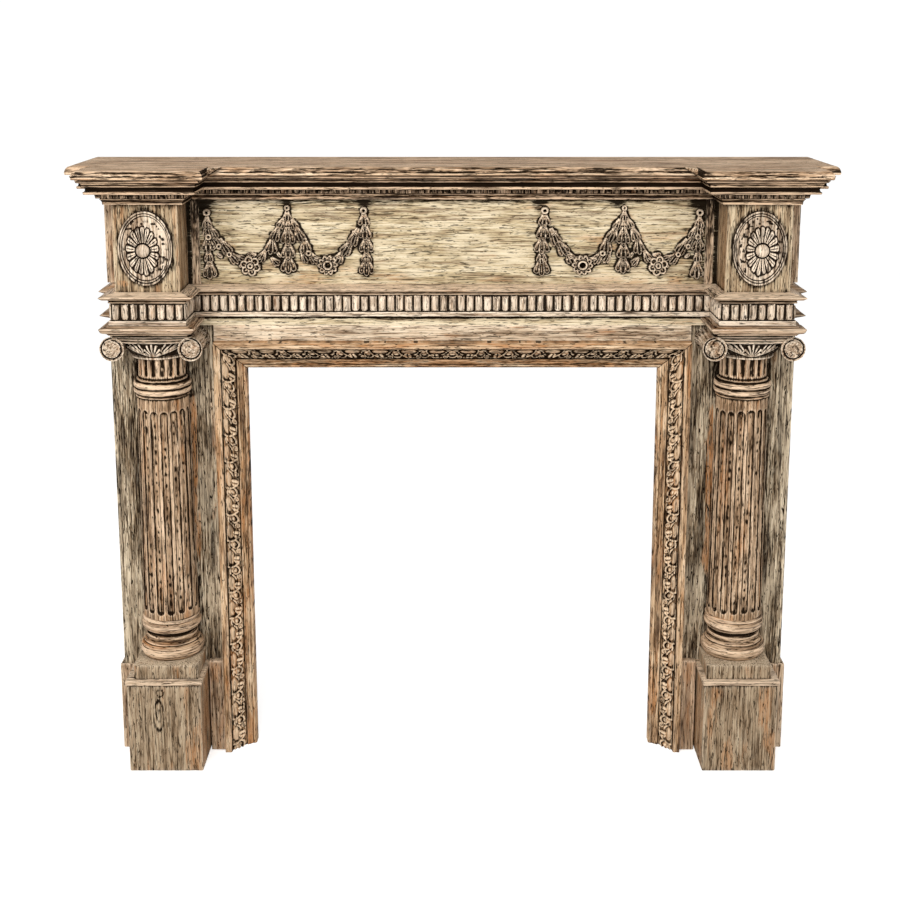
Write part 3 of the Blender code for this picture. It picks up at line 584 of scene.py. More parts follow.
def make_shelf():
    """The shelf board: a flat top, a worn quarter round and a small nose, mitred round the ends."""
    tip, drop, round_depth = SHELF_REACH, 0.0043, 0.012
    rise = Z_TOP - Z_SHELF - drop - 0.0008
    # Each level carries a painted shade: positive values darken it as painted shade under the shelf and as
    # dark bands round the nose, negative values lighten it as rubbed wear that also stands for the highlight
    # on the nose.
    levels = [(-0.03, Z_SHELF, 0.0), (tip - round_depth, Z_SHELF, 0.5), (tip - 0.0026, Z_SHELF + 0.0004, 0.0),
              (tip - 0.0007, Z_SHELF + 0.0018, 0.25), (tip, Z_SHELF + drop, -0.35)]
    for step, dark in enumerate((0.62, 0.58, 0.26, 0.52, 0.28, 0.42, 0.16, -0.30, 0.10), 1):
        turn = math.radians(10 * step)
        level = Z_SHELF + drop + rise * math.sin(turn)
        levels.append((tip - round_depth * (1 - math.cos(turn)), level, dark))
    levels += [(tip - 0.020, Z_SHELF + drop + rise, -0.1), (-0.03, Z_SHELF + drop + rise, 0.0)]
    reach, height, shade = np.array(levels).T
    edge = (reach > tip - round_depth - 0.001) & (shade > 0)
    path, steps = mitre_steps(breakfront_path(LAYER_OUTER))
    rings, glaze_and_shade_rows, wear_and_highlight_rows = [], [], []
    for k in range(len(path) - 1):
        length = np.linalg.norm(path[k + 1] - path[k])
        sampled = list(spread(length, (0.0015, 0.006), 0.012) / length)
        inner = (path[k + 1][1] - path[k][1]) * path[k][0] > 0.01
        for share in ([0.0] if k == 0 else []) + sampled + [1.0]:
            base = path[k] + (path[k + 1] - path[k]) * share
            step = steps[k] + (steps[k + 1] - steps[k]) * share
            spot = place(base[0] + step[0] * reach, base[1] + step[1] * reach, height)
            lump = rough(spot, 0.05, 2) * 0.0006 + rough(spot, 0.012, 4) * 0.0004
            chip = np.clip(rough(spot, 0.02, 6) + rough(spot, 0.007, 8) - 0.5, 0, 1)
            chip = np.clip(-shade, 0, 1) * chip
            p = np.where(reach > 0.05, reach - 0.0008 + lump - chip * 0.002, reach)
            spot = place(base[0] + step[0] * p, base[1] + step[1] * p, height)
            rings.append(spot)
            stripe = 0.35 * rough(np.stack((spot[:, 0] * 0.12, reach, height), -1), 0.004, 9)
            # The inner returns of the nose get painted shade, and less of the pale.
            glaze_and_shade_rows.append(np.clip(shade + stripe * edge + 0.36 * inner * (reach > 0.064), 0, 1))
            wear_and_highlight_rows.append(np.clip(-shade * (0.2 if inner else 1.0), 0, 1))
    rows, columns = len(rings), len(levels)
    faces = grid_faces(rows, columns)
    faces.append([row * columns for row in range(rows)])
    faces.append([row * columns + columns - 1 for row in range(rows)])
    faces.append(list(range(columns)) + list(reversed(range((rows - 1) * columns, rows * columns))))
    rings = np.array(rings)
    finish_piece("shelf_board", rings, faces, rings, np.array(glaze_and_shade_rows), np.array(wear_and_highlight_rows), BROWN, ["shelf"], 35)


def make_corner_wedges():
    """A thin slanted wedge in each inner corner of the shelf, its face dark with glaze and painted shade."""
    count = 30
    share = np.linspace(0, 1, count)[:, None]
    front = 0.352 - 0.050 * share
    low, high = Z_TOP - 0.0190 + 0.0165 * share, Z_TOP - 0.0006
    back = np.full((count, 1), 0.2990)
    out = np.hstack((front, front, front, front - 0.0012, np.maximum(front - 0.004, back), back, back))
    for word, side in SIDES:
        x = (BLOCK_INNER - SHELF_REACH + 0.001 - 0.0245 * share) * side * np.ones((1, 7))
        rise = np.array((0.0, 0.3, 0.8, 0.97, 1.0, 1.0, 0.0))[None, :]
        z = low + (high - low) * rise
        points = place(x, out, z)
        glaze_and_shade = np.broadcast_to(np.array((0.8, 0.42, 0.35, 0.1, 0.0, 0.2, 0.8)), x.shape)
        wear_and_highlight = np.broadcast_to(np.array((0.0, 0.0, 0.1, 0.9, 0.2, 0.0, 0.0)), x.shape)
        finish_piece("corner_wedge_" + word, points, shell_faces(count, 7), points, glaze_and_shade, wear_and_highlight, BROWN,
                     ["shelf"], 30)


# Cornice, frieze base and the mouldings under the breakfronts

def make_mouldings():
    z = Z_CORNICE
    cornice = trace(
        (GAP, z), (0.0160, z), (0.0172, z + 0.0022), (0.0205, z + 0.0118, -0.12), (0.0222, z + 0.0124),
        (0.0222, z + 0.0142), (0.0205, z + 0.0150), (0.0215, z + 0.0235), (0.0300, z + 0.0262),
        (0.0500, z + 0.0270), (0.0520, z + 0.0290), (0.0522, z + 0.0336), (0.0495, z + 0.0345),
        (0.0500, z + 0.0438, -0.22), (0.0525, z + 0.0440), (0.0535, z + 0.0498, 0.40),
        (0.0560, z + 0.0505), (0.0585, z + 0.0545, -0.2), (0.0625, z + 0.0550), (0.0628, z + 0.0608, 0.42),
        (0.0600, z + 0.0613), (0.0600, z + 0.0622), (GAP, z + 0.0622))

    # Painted shade in the cove and on the soffit, a little darker all over, and a painted highlight on the
    # fillet.
    def shade(height):
        cove = (height > z + 0.0345) & (height < z + 0.0438)
        soffit = (height > z + 0.0150) & (height < z + 0.0262)
        return 0.6 * cove + 0.5 * soffit + 0.20 - 0.5 * fillet(height)

    def fillet(height):
        return (height > z + 0.0276) & (height < z + 0.0340)

    moulding("cornice_moulding", breakfront_path(LAYER_OUTER), cornice, CORNICE_WOOD, ["cornice"], 11,
             gloom=shade, painted_highlight=lambda height: 0.75 * fillet(height))

    z = Z_FRIEZE_BASE + GAP
    wedge = trace(
        (GAP, z), (0.0128, z), (0.0142, z + 0.0008), (0.0142, z + 0.0056, 0.28), (0.0150, z + 0.0070),
        (0.0205, z + 0.0088, -0.1), (0.0310, z + 0.0128, 0.12), (0.0338, z + 0.0148), (0.0340, z + 0.0165),
        (0.0325, z + 0.0182), (0.0170, z + 0.0224, -0.05), (0.0040, z + 0.0256), (GAP, z + 0.0258))
    # The top slope gets a painted highlight.
    moulding("frieze_base", FRONT_PATH, wedge, TAN, ["frieze_base_moulding"], 12,
             painted_highlight=lambda height: 0.9 * (height > Z_FRIEZE_BASE + 0.0190))

    z = Z_COURSES + GAP
    ovolo = trace(
        (GAP, z), (0.0165, z), (0.0175, z + 0.0012), (0.0255, z + 0.0062, -0.12),
        (0.0345, z + 0.0150, 0.16), (0.0360, z + 0.0178), (0.0352, z + 0.0202),
        (0.0190, z + 0.0232, -0.05), (GAP, z + 0.0238))
    for word, side in SIDES:
        path = [(-BLOCK_OUTER, RETURN_STOP), (-BLOCK_OUTER, BLOCK_FRONT),
                (-BLOCK_INNER, BLOCK_FRONT), (-BLOCK_INNER, PANEL_FRONT + GAP)]
        moulding("lower_moulding_" + word, path, ovolo, TAN, ["block_moulding_" + word], 13 + side, side)

    height = Z_FRIEZE - Z_COURSES - GAP
    shares = ((0.00, 0.00), (0.02, 0.12), (0.40, 0.17), (0.93, 0.235), (1.00, 0.255), (0.93, 0.275),
              (0.50, 0.33), (0.02, 0.37), (0.02, 0.68), (0.40, 0.73), (0.93, 0.815), (1.00, 0.835),
              (0.93, 0.855), (0.40, 0.92), (0.02, 0.96), (0.00, 1.00))
    front = [(share * 0.030 + GAP, Z_COURSES + GAP + up * height) for share, up in shares]
    profile = np.array(front + [(-BOARD_THICKNESS, front[-1][1]), (-BOARD_THICKNESS, front[0][1])])
    inner = BLOCK_OUTER + GAP
    path = [(-BAND_RETURN_OUTER, 0.0), (-BAND_RETURN_OUTER, BOARD_FRONT), (-inner, BOARD_FRONT)]
    for word, side in SIDES:
        moulding("side_courses_" + word, path, profile, TAN, ["band_return_" + word], 17 + side, side)


# Carving: heights over a flat or rounded ground

def ridge(u, v, line, widths, heights):
    """A round-backed ridge along a line of points, with its width and height along the way."""
    best = np.zeros(np.shape(u))
    line = np.array(line, float)
    widths = np.broadcast_to(widths, len(line))
    heights = np.broadcast_to(heights, len(line))
    for k in range(len(line) - 1):
        start, stop = line[k], line[k + 1]
        reach = max(widths[k], widths[k + 1])
        low, high = np.minimum(start, stop) - reach, np.maximum(start, stop) + reach
        near = (u > low[0]) & (u < high[0]) & (v > low[1]) & (v < high[1])
        if not near.any():
            continue
        du, dv = u[near] - start[0], v[near] - start[1]
        along = stop - start
        share = np.clip((du * along[0] + dv * along[1]) / max(along @ along, 1e-12), 0, 1)
        away = np.hypot(du - along[0] * share, dv - along[1] * share)
        width = widths[k] + (widths[k + 1] - widths[k]) * share
        height = heights[k] + (heights[k + 1] - heights[k]) * share
        lift = height * np.sqrt(np.clip(1 - (away / width) ** 2, 0, 1))
        best[near] = np.maximum(best[near], lift)
    return best


def curve_through(points, count=10):
    """A smooth line through a few points."""
    points = np.array(points, float)
    ends = np.vstack((2 * points[0] - points[1], points, 2 * points[-1] - points[-2]))
    line = []
    for k in range(1, len(ends) - 2):
        a, b, c, d = ends[k - 1:k + 3]
        for t in np.arange(count) / count:
            line.append(0.5 * (2 * b + (c - a) * t + (2 * a - 5 * b + 4 * c - d) * t ** 2
                               + (3 * b - a - 3 * c + d) * t ** 3))
    line.append(points[-1])
    return np.array(line)


def lobe(u, v, centre, length, width, angle, height, groove=0.0, tip=0.0):
    """A domed petal: long one way, with a groove down the middle and a narrower tip."""
    reach = max(length, width)
    near = (np.abs(u - centre[0]) < reach) & (np.abs(v - centre[1]) < reach)
    result = np.zeros(np.shape(u))
    if not near.any():
        return result
    du, dv = u[near] - centre[0], v[near] - centre[1]
    along = (du * math.cos(angle) + dv * math.sin(angle)) / length
    across = (dv * math.cos(angle) - du * math.sin(angle)) / (width * (1 - tip * along))
    dome = np.sqrt(np.clip(1 - along ** 2 - across ** 2, 0, 1))
    result[near] = height * dome * (1 - groove * np.exp(-(across / 0.22) ** 2))
    return result


# Carved frame of the opening

# Points of the frame's section that lie in a dark line, and those on a rubbed edge
DARK_LINES = (6, 13, 14, 43, 44)
RUBBED_EDGES = (4, 11, 46, 47, 51)
CARVED_FROM = 0.0262
CARVED_TO = 0.0563


def frame_section():
    """Across the frame from the opening outward, as (across, out), close together where it is carved."""
    inner = [(0.0, 0.172), (0.0, 0.186), (0.0, 0.1985), (0.0010, 0.2010), (0.0040, 0.2032),
             (0.0076, 0.2042), (0.0086, 0.2026), (0.0097, 0.2040), (0.0130, 0.2068), (0.0170, 0.2094),
             (0.0204, 0.2114), (0.0218, 0.2126), (0.0231, 0.2118), (0.0243, 0.2092), (0.0254, 0.2092)]
    carved = [(0.0265 + 0.0295 * k / 27, 0.2100 + 0.0300 * k / 27) for k in range(28)]
    outer = [(0.0567, 0.2395), (0.0572, 0.2480), (0.0580, 0.2525), (0.0592, 0.2548), (0.0610, 0.2556),
             (0.0660, 0.2550), (0.0700, 0.2556), (0.0730, 0.2558), (0.0744, 0.2550), (0.0750, 0.2532),
             (0.0750, 0.2320), (0.0750, 0.172)]
    return np.array(inner + carved + outer)


LEAF_LENGTH = 0.0692


def leaf_relief(along, across, seed):
    """One scrolling leaf after another: along the frame, and across it from the outer fillet."""
    a_all, b_all = along * 1000, across * 1000
    height = np.zeros(np.shape(along))
    count = int(math.ceil(along.max() / LEAF_LENGTH)) + 2
    length = LEAF_LENGTH * 1000
    for leaf in range(-1, count):
        near = (a_all > (leaf - 0.25) * length) & (a_all < (leaf + 1.35) * length)
        if not near.any():
            continue
        wander = np.array([leaf * 3.7 + seed, seed * 1.9, leaf * 1.3])
        shift = rough(np.array([wander, wander + 5, wander + 9]), 1.0, seed)
        a = (a_all[near] - leaf * length) * (1 + 0.05 * shift[0]) + 1.2 * shift[1]
        b = b_all[near] * (1 + 0.05 * shift[2])
        parts = [
            ridge(a, b, curve_through([(4.9, 0.2), (6.2, 6.0), (4.4, 12.0), (0.5, 17.5), (-5.0, 22.0),
                                       (-9.0, 25.5)]), 1.9, 8.0),
            ridge(a, b, curve_through([(1.5, 19.0), (6.0, 23.5), (13.0, 25.5), (19.5, 23.5), (23.5, 18.0),
                                       (21.0, 13.0)]), 1.8, 7.6),
            lobe(a, b, (13.5, 12.0), 8.0, 7.5, 0.25, 6.8, 0.35),
            ridge(a, b, [(9.0, 6.0), (17.0, 4.0), (24.0, 5.5)], 1.9, 5.2),
            ridge(a, b, curve_through([(24.5, 22.0), (26.5, 27.0), (32.5, 27.5), (34.0, 22.0), (29.5, 20.0),
                                       (26.0, 22.0)]), 1.5, 7.4),
            lobe(a, b, (29.8, 23.7), 2.4, 2.2, 0.0, 6.4),
            ridge(a, b, [(27.0, 10.0), (32.0, 15.0), (37.0, 17.0)], 1.9, 5.6),
            lobe(a, b, (50.5, 20.5), 4.6, 8.0, 0.18, 8.4, 0.25),
            ridge(a, b, curve_through([(40.0, 27.0), (45.0, 28.5), (52.0, 28.0), (58.0, 26.0)]), 1.4, 5.6),
            lobe(a, b, (60.0, 21.5), 3.4, 5.8, -0.25, 7.2, 0.2),
            ridge(a, b, curve_through([(56.0, 14.0), (61.0, 16.0), (65.0, 20.0)]), 1.5, 5.5),
            lobe(a, b, (50.0, 7.2), 19.0, 7.0, 0.03, 5.2),
            ridge(a, b, [(38.0, 0.8), (56.0, 0.6), (73.0, 0.9)], 1.0, 5.4),
        ]
        height[near] = np.maximum(height[near], np.max(parts, axis=0))
    return height / 1000


def make_frame_length(name, rows, spot_of, along_of, replaced, seed, dark=0.0):
    """One length of the frame, with its plain inner and outer mouldings and the leaves between them."""
    section = frame_section()
    across, out = section[:, 0], section[:, 1]
    share = np.linspace(0, 1, rows)[:, None]
    along = along_of(share, across[None, :])
    carved = (across > CARVED_FROM) & (across < CARVED_TO)

    def on_grid(values):
        return np.broadcast_to(values, along.shape)

    relief = leaf_relief(along, on_grid(0.0560 - across), seed)
    edge = smooth_step(CARVED_FROM, 0.0285, across) * smooth_step(0.0566, 0.0555, across)
    relief = relief * np.where(carved, edge, 0.0)
    wave = 0.0004 * rough(np.stack((along, on_grid(across), on_grid(seed)), -1), 0.03, seed)
    plain = (~carved) & (out > 0.19)
    surface = out[None, :] + relief * 1.02 + np.where(plain, wave - 0.0004, 0.0)
    points = spot_of(share, across[None, :], surface)
    glaze_and_shade, wear_and_highlight = shading_of(np.where(carved, relief, 0.0), 3, 0.0022)
    spot = np.stack((along, on_grid(across), on_grid(0.0)), -1)
    pit = (relief < 0.0012) * np.clip(0.25 + 0.6 * rough(spot, 0.007, seed), 0, 1)
    # dark adds painted shade to the glaze and the warm stain; only the head gets it.
    glaze_and_shade = np.where(carved, glaze_and_shade * 0.56 + 0.42 * pit + dark, dark)
    number = np.arange(len(across))
    glaze_and_shade = np.maximum(glaze_and_shade, 0.9 * np.isin(number, DARK_LINES))
    glaze_and_shade = np.maximum(glaze_and_shade, (np.minimum(share, 1 - share) < 0.0012) * (out > 0.19))
    wear_and_highlight = np.maximum(np.where(carved, wear_and_highlight * 1.6, 0.0), 0.4 * np.isin(number, RUBBED_EDGES))
    stain = np.where(across > 0.0565, -0.05, np.where(across < CARVED_FROM, 0.28, 0.15)) + dark
    grain = np.stack((along, on_grid(across), on_grid(seed)), -1)
    finish_piece(name, points, shell_faces(rows, len(across)), grain, glaze_and_shade, wear_and_highlight, FRAME_WOOD, replaced, 50,
                 on_grid(stain))


def make_frame():
    for word, side in SIDES:
        def jamb_spot(share, t, out):
            return place((HALF_OPENING + t) * side, out, share * (OPENING_HEIGHT + t - GAP))

        def jamb_along(share, t):
            return (1 - share) * (OPENING_HEIGHT + 0.045) + t * 0

        make_frame_length("leaf_jamb_" + word, 700, jamb_spot, jamb_along, ["frame_jamb_" + word], 41 + side)

    def head_spot(share, t, out):
        return place((2 * share - 1) * (HALF_OPENING + t - GAP), out, OPENING_HEIGHT + t)

    def head_along(share, t):
        return np.abs(2 * share - 1) * (HALF_OPENING + 0.040) + t * 0 + 0.012

    # Painted shade on the head's carved and inner parts.
    shadow = 0.34 * (frame_section()[:, 0] < 0.0565)
    make_frame_length("leaf_head", 800, head_spot, head_along, ["frame_head"], 44, shadow)


# Columns and their bases

COLUMN_AXIS = 0.240
HALF_FLUTE = 0.0088
HALF_NECK_FLUTE = 0.0074


def turned_rows(profile, spacing):
    """A turned profile, (radius, z), cut into short steps."""
    rows = [profile[0]]
    for start, stop in zip(profile, profile[1:]):
        count = max(1, int(math.ceil(np.linalg.norm(stop - start) / spacing)))
        rows += [start + (stop - start) * k / count for k in range(1, count + 1)]
    return np.array(rows)


def turned_along(z):
    """Where the marks of the wood run round a turned piece and not up it."""
    return (z < Z_SHAFT) | ((z > Z_ASTRAGAL) & (z < Z_ASTRAGAL + 0.044))


def turned_piece(name, side, rows, carve, turns, wood_used, replaced, seed, wobble=0.0005, crease=50,
                 axis_x=COLUMN_X):
    """A turned piece with a flat back against the board, cut by a carving depth at each turn and height."""
    behind = COLUMN_AXIS - BOARD_FRONT - GAP
    radius, z = rows[:, 0][:, None], rows[:, 1][:, None]
    limit = np.arccos(np.clip(-behind / radius, -1, 1))
    turn = np.linspace(-1, 1, turns)[None, :] * limit
    radius, z = radius + turn * 0, z + turn * 0
    depth, glaze_and_shade, wear_and_highlight = carve(turn, radius, z)
    spot = np.stack((turn * 0.07, z, turn * 0 + seed), -1)
    fade = smooth_step(0.0, 0.06, 1 - np.abs(turn) / limit)
    lump = wobble * (rough(spot, 0.05, seed) + 0.6 * rough(spot, 0.014, seed + 1) - 1)
    reach = radius - depth * fade + lump * fade
    points = place((axis_x + reach * np.sin(turn)) * side, COLUMN_AXIS + reach * np.cos(turn), z)
    upright = np.stack((z, turn * 0.07, turn * 0 + seed * 1.3), -1)
    around = upright[..., (1, 0, 2)]
    grain = np.where(turned_along(z)[..., None], around, upright)
    faces = shell_faces(len(rows), turns)
    finish_piece(name, points, faces, grain, glaze_and_shade, wear_and_highlight, wood_used, replaced, crease)


def profile_shades(rows, scale=0.0007):
    """Hollow and proud places of a turned profile."""
    level = rows.copy()
    for _ in range(10):
        level[1:-1] = (level[:-2] + 2 * level[1:-1] + level[2:]) / 4
    proud = (rows[:, 0] - level[:, 0]) / scale
    return np.clip(-proud, 0, 1)[:, None], np.clip(proud, 0, 1)[:, None]


def make_shaft(word, side):
    """The fluted shaft with its astragal and fluted neck, in one turned piece."""
    za, rise = Z_ASTRAGAL, 0.0474
    outline = trace(
        (0.0692, Z_SHAFT), (0.0692, 0.400), (0.0640, 0.9330), (0.0640, za + 0.0002), (0.0662, za + 0.0008),
        (0.0662, za + 0.0044, -0.25), (0.0645, za + 0.0058), (0.0676, za + 0.0076),
        (0.0688, za + 0.0220, 0.20), (0.0672, za + 0.0230), (0.0688, za + 0.0240),
        (0.0676, za + 0.0376, 0.20), (0.0645, za + 0.0392), (0.0628, za + 0.0432, -0.2),
        (0.0600, za + 0.0450), (0.0580, za + rise), (0.0580, Z_CAPITAL - GAP))
    rows = turned_rows(outline, 0.0024)
    thin = [k for k in range(len(rows)) if rows[k, 1] < 0.41 or rows[k, 1] > 0.915 or k % 3 == 0]
    rows = rows[thin]
    lows, highs = profile_shades(rows)
    pitch = math.radians(22.5)

    def carve(turn, radius, z):
        number = np.round(turn / pitch - 0.5)
        arc = np.abs(turn / pitch - 0.5 - number) * pitch * radius
        jitter = 0.0025 * np.sin(number * 7.3 + side)
        low, high = 0.4105 + jitter, 0.9185 - 0.0009 * np.abs(number) + jitter
        over = np.maximum(np.maximum(low - z, z - high), 0)
        shaft_d = np.sqrt((arc / HALF_FLUTE) ** 2 + (over / HALF_FLUTE) ** 2)
        neck_over = np.maximum(Z_NECK + 0.0125 - z, 0)
        neck_d = np.sqrt((arc / HALF_NECK_FLUTE) ** 2 + (neck_over / HALF_NECK_FLUTE) ** 2)
        on_neck = z > Z_ASTRAGAL + 0.02
        d = np.where(on_neck, neck_d, shaft_d)
        spots = np.stack((number * 0.3, z, turn * 0 + side), -1)
        worn = 0.82 + 0.18 * rough(spots, 0.04, 3)
        depth = np.where(on_neck, 0.0055, 0.0062) * np.sqrt(np.clip(1 - d ** 2, 0, 1)) * worn
        fine = np.stack((turn * 0.07, z * 0.8, turn * 0 + side), -1)
        inside = np.clip(6.0 * (0.86 - d), 0, 1)
        to_end = np.minimum(np.abs(z - high - HALF_FLUTE), np.abs(z - low + HALF_FLUTE))
        end = np.clip(1 - to_end / 0.012, 0, 1)
        lines = np.exp(-((d - 0.93) / 0.16) ** 2) * (0.95 + 0.35 * rough(spots, 0.02, 5))
        beat = (z / 0.0100 + 0.37 * number + 0.5 * rough(spots, 0.03, 8)) % 1.0
        dots = np.exp(-((beat - 0.5) / 0.17) ** 2) * np.exp(-(arc / 0.0030) ** 2)
        dots = 1.1 * dots * smooth_step(-0.6, 0.1, rough(spots, 0.06, 4))
        dots = dots + 0.14 + 0.3 * rough(spots, 0.03, 6)
        dark = np.maximum(lines, inside * (dots + 0.9 * end))
        neck_dark = np.clip(2.0 * (0.95 - d), 0, 1) * (0.9 + 0.5 * rough(fine, 0.006, 2))
        dark = np.where(on_neck, neck_dark, dark)
        rim = np.exp(-((d - 1.28) / np.where(on_neck, 0.26, 0.16)) ** 2) * np.where(on_neck, 1.0, 0.55)
        cracks = sum(np.exp(-((z - za - up) / wide) ** 2)
                     for up, wide in ((0.0066, 0.0024), (0.0230, 0.0017), (0.0402, 0.0024)))
        ring = (z > za) & (z < za + 0.044)
        broken = np.clip(0.75 + 0.6 * rough(fine * (1, 0.2, 1), 0.012, 9), 0.25, 1)
        dark = dark * ~ring + ring * (cracks * broken + 0.10 + 0.20 * rough(fine, 0.01, 9))
        return depth, np.clip(dark + lows, 0, 1), np.clip(rim * ~ring + highs, 0, 1)

    turned_piece("shaft_" + word, side, rows, carve, 221, SHAFT, ["column_" + word], 51 + side)


def make_base(word, side):
    """Two rolls with a dark cove between them, under a thin ring."""
    z = Z_BASE + GAP
    outline = trace(
        (0.0735, z), (0.0752, z + 0.0012), (0.0735, z + 0.0352, 0.21), (0.0712, z + 0.0365),
        (0.0712, z + 0.0392), (0.0655, z + 0.0540, -0.18), (0.0655, z + 0.0560), (0.0630, z + 0.0575),
        (0.0640, z + 0.0692, -0.18), (0.0690, z + 0.0702), (0.0700, z + 0.0715),
        (0.0700, z + 0.0940, 0.24), (0.0668, z + 0.0960), (0.0722, z + 0.0968),
        (0.0722, z + 0.1035, 0.12), (0.0700, z + 0.1054))
    rows = turned_rows(outline, 0.0018)
    lows, highs = profile_shades(rows)

    def carve(turn, radius, height):
        crack = np.abs(height - z - 0.0640 - 0.001 * np.sin(turn * 3)) < 0.004
        return turn * 0, np.clip(lows + 0.75 * crack, 0, 1), np.clip(highs + turn * 0, 0, 1)

    turned_piece("base_rolls_" + word, side, rows, carve, 120, SHAFT, ["column_base_" + word], 55 + side,
                 wobble=0.0007)


# Capitals

CAPITAL_X = COLUMN_X + 0.0045


def make_volute(word, side, inner):
    """One roll of the capital: a waisted cylinder with its scroll on the front."""
    radius = 0.0296
    centre_x = CAPITAL_X + (-0.094 if inner else 0.094)
    centre_z = Z_COURSES - 0.0298 - 0.0075
    back, front = BOARD_FRONT + GAP, 0.342
    rows = [(0.80, back)]
    for share in np.linspace(0, 1, 26):
        waist = 0.74 + 0.24 * abs(2 * share - 1) ** 3 + 0.03 * (abs(share - 0.5) < 0.06)
        rows.append((waist, back + (front - back - 0.004) * share))
    rows += [(1.0, front - 0.0035), (1.0, front - 0.0012), (0.985, front - 0.0003)]
    rows += [(size, front) for size in np.linspace(0.965, 0.03, 46)]
    rows = np.array(rows)
    turn = np.linspace(0, 2 * math.pi, 120, endpoint=False)[None, :]
    size, out, turn = np.broadcast_arrays(rows[:, 0][:, None], rows[:, 1][:, None], turn)
    hand = -1 if inner else 1
    spin = (turn * hand) % (2 * math.pi) / (2 * math.pi)
    face = (out > front - 0.0002) * 1.0
    channel = 0.88 - 0.15 * spin
    step = 0.0066 * np.exp(-((size - channel) / 0.052) ** 2)
    second = 0.0016 * np.exp(-((size - channel + 0.24) / 0.05) ** 2) * smooth_step(0.6, 0.9, spin)
    spot = np.stack((size * np.cos(turn), size * np.sin(turn), turn * 0 + side + inner * 3.0), -1)
    blotch = 0.0011 * rough(spot, 0.16, 2)
    depth = face * (step + second - blotch * (size < 0.7)) + 0.0008 * face
    x = (centre_x + radius * size * np.sin(turn)) * side
    z = centre_z + radius * size * np.cos(turn)
    points = place(x, out - depth, z)
    mottle = np.clip(0.9 * rough(spot, 0.22, 4) + 0.5 * rough(spot, 0.09, 6), 0, 0.6) * (size < 0.74)
    glaze_and_shade = np.clip(face * (step + second) / 0.0042 + face * mottle, 0, 1)
    # The side of the roll gets painted shade, more near the board behind.
    glaze_and_shade = np.maximum(glaze_and_shade, (1 - face) * (out < front - 0.004) * (0.12 + 0.3 * (out < back + 0.03)))
    wear_and_highlight = np.clip(np.exp(-((size - 0.975) / 0.025) ** 2) * (out > front - 0.006)
                   + face * np.exp(-((size - channel + 0.085) / 0.03) ** 2), 0, 1)
    grain = np.stack((out + x * 0.2, x, z), -1)
    faces = shell_faces(len(rows), 120)
    place_word = "inner" if inner else "outer"
    finish_piece("volute_%s_%s" % (place_word, word), points, faces, grain, glaze_and_shade, wear_and_highlight, CARVED,
                 ["capital_" + word], 45)


def make_capital_band(word, side):
    """The sagging band between the rolls, with a thin fillet along each edge."""
    half = 0.094
    count, depth_rows = 110, 26
    x = np.linspace(-half, half, count)
    shape = 1 - (x / half) ** 2
    top = np.full(count, Z_COURSES - 0.0078)
    low = Z_COURSES - 0.0215 - 0.0045 * shape
    share = np.linspace(0, 1, depth_rows)[:, None]
    z = low[None, :] + (top - low)[None, :] * share
    lift = 0.0036 * (np.exp(-((share - 0.12) / 0.10) ** 2) + 0.9 * np.exp(-((share - 0.52) / 0.09) ** 2)
                     + np.exp(-((share - 0.90) / 0.09) ** 2))
    spot = np.stack((np.broadcast_to(x, z.shape), z, z * 0 + side), -1)
    lift = lift + 0.0005 * rough(spot, 0.012, 5)
    front = 0.3345 + lift
    glaze_and_shade, wear_and_highlight = shading_of(lift, 2, 0.0011)
    ring_x = np.concatenate((np.broadcast_to(x, z.shape), x[None, :], x[None, :]))
    ring_z = np.concatenate((z, top[None, :], low[None, :]))
    back = np.full((2, count), BOARD_FRONT + GAP)
    out = np.concatenate((front, back))
    points = place((CAPITAL_X + ring_x) * side, out, ring_z).transpose(1, 0, 2)
    zero = np.zeros((2, count))
    glaze_and_shade = np.concatenate((glaze_and_shade, zero)).T
    wear_and_highlight = np.concatenate((wear_and_highlight, zero)).T
    faces = shell_faces(count, depth_rows + 2)
    finish_piece("capital_band_" + word, points, faces, points[..., (0, 2, 1)], glaze_and_shade, wear_and_highlight, CARVED,
                 ["capital_" + word], 45)


# Leaves at the sides of the palmette: offset of the foot, reach, rise and width, in millimetres
SIDE_LEAVES = ((0, 44, 15, 2.4), (0, 58, 26, 2.4), (6, 66, 37, 2.2), (14, 50, 36, 2.2), (18, 34, 34, 2.0),
               (-2, 66, 24, 1.7))


def palmette(x, z):
    """Fan of ribs in the middle of the bowl, with a long leaf lying out to each side, in millimetres."""
    height = np.zeros(np.shape(x))
    foot = (0.0, 9.0)
    for angle, reach in ((-62, 20), (-42, 28), (-21, 33), (0, 34), (21, 33), (42, 28), (62, 20)):
        a = math.radians(angle)
        tip = (foot[0] + reach * math.sin(a), foot[1] + reach * math.cos(a))
        height = np.maximum(height, ridge(x, z, [foot, tip], (0.7, 2.9), (1.6, 3.4)))
    for side in (-1, 1):
        for offset, reach, rise, width in SIDE_LEAVES:
            foot = (side * (10 + offset), 12 + 0.5 * offset)
            middle = (side * (0.55 * reach + 4), 13 + 0.42 * rise)
            path = curve_through([foot, middle, (side * reach, 10 + rise)], 8)
            size = np.linspace(0.8, 1.0, len(path)) * width
            height = np.maximum(height, ridge(x, z, path, size, 3.1))
    return height


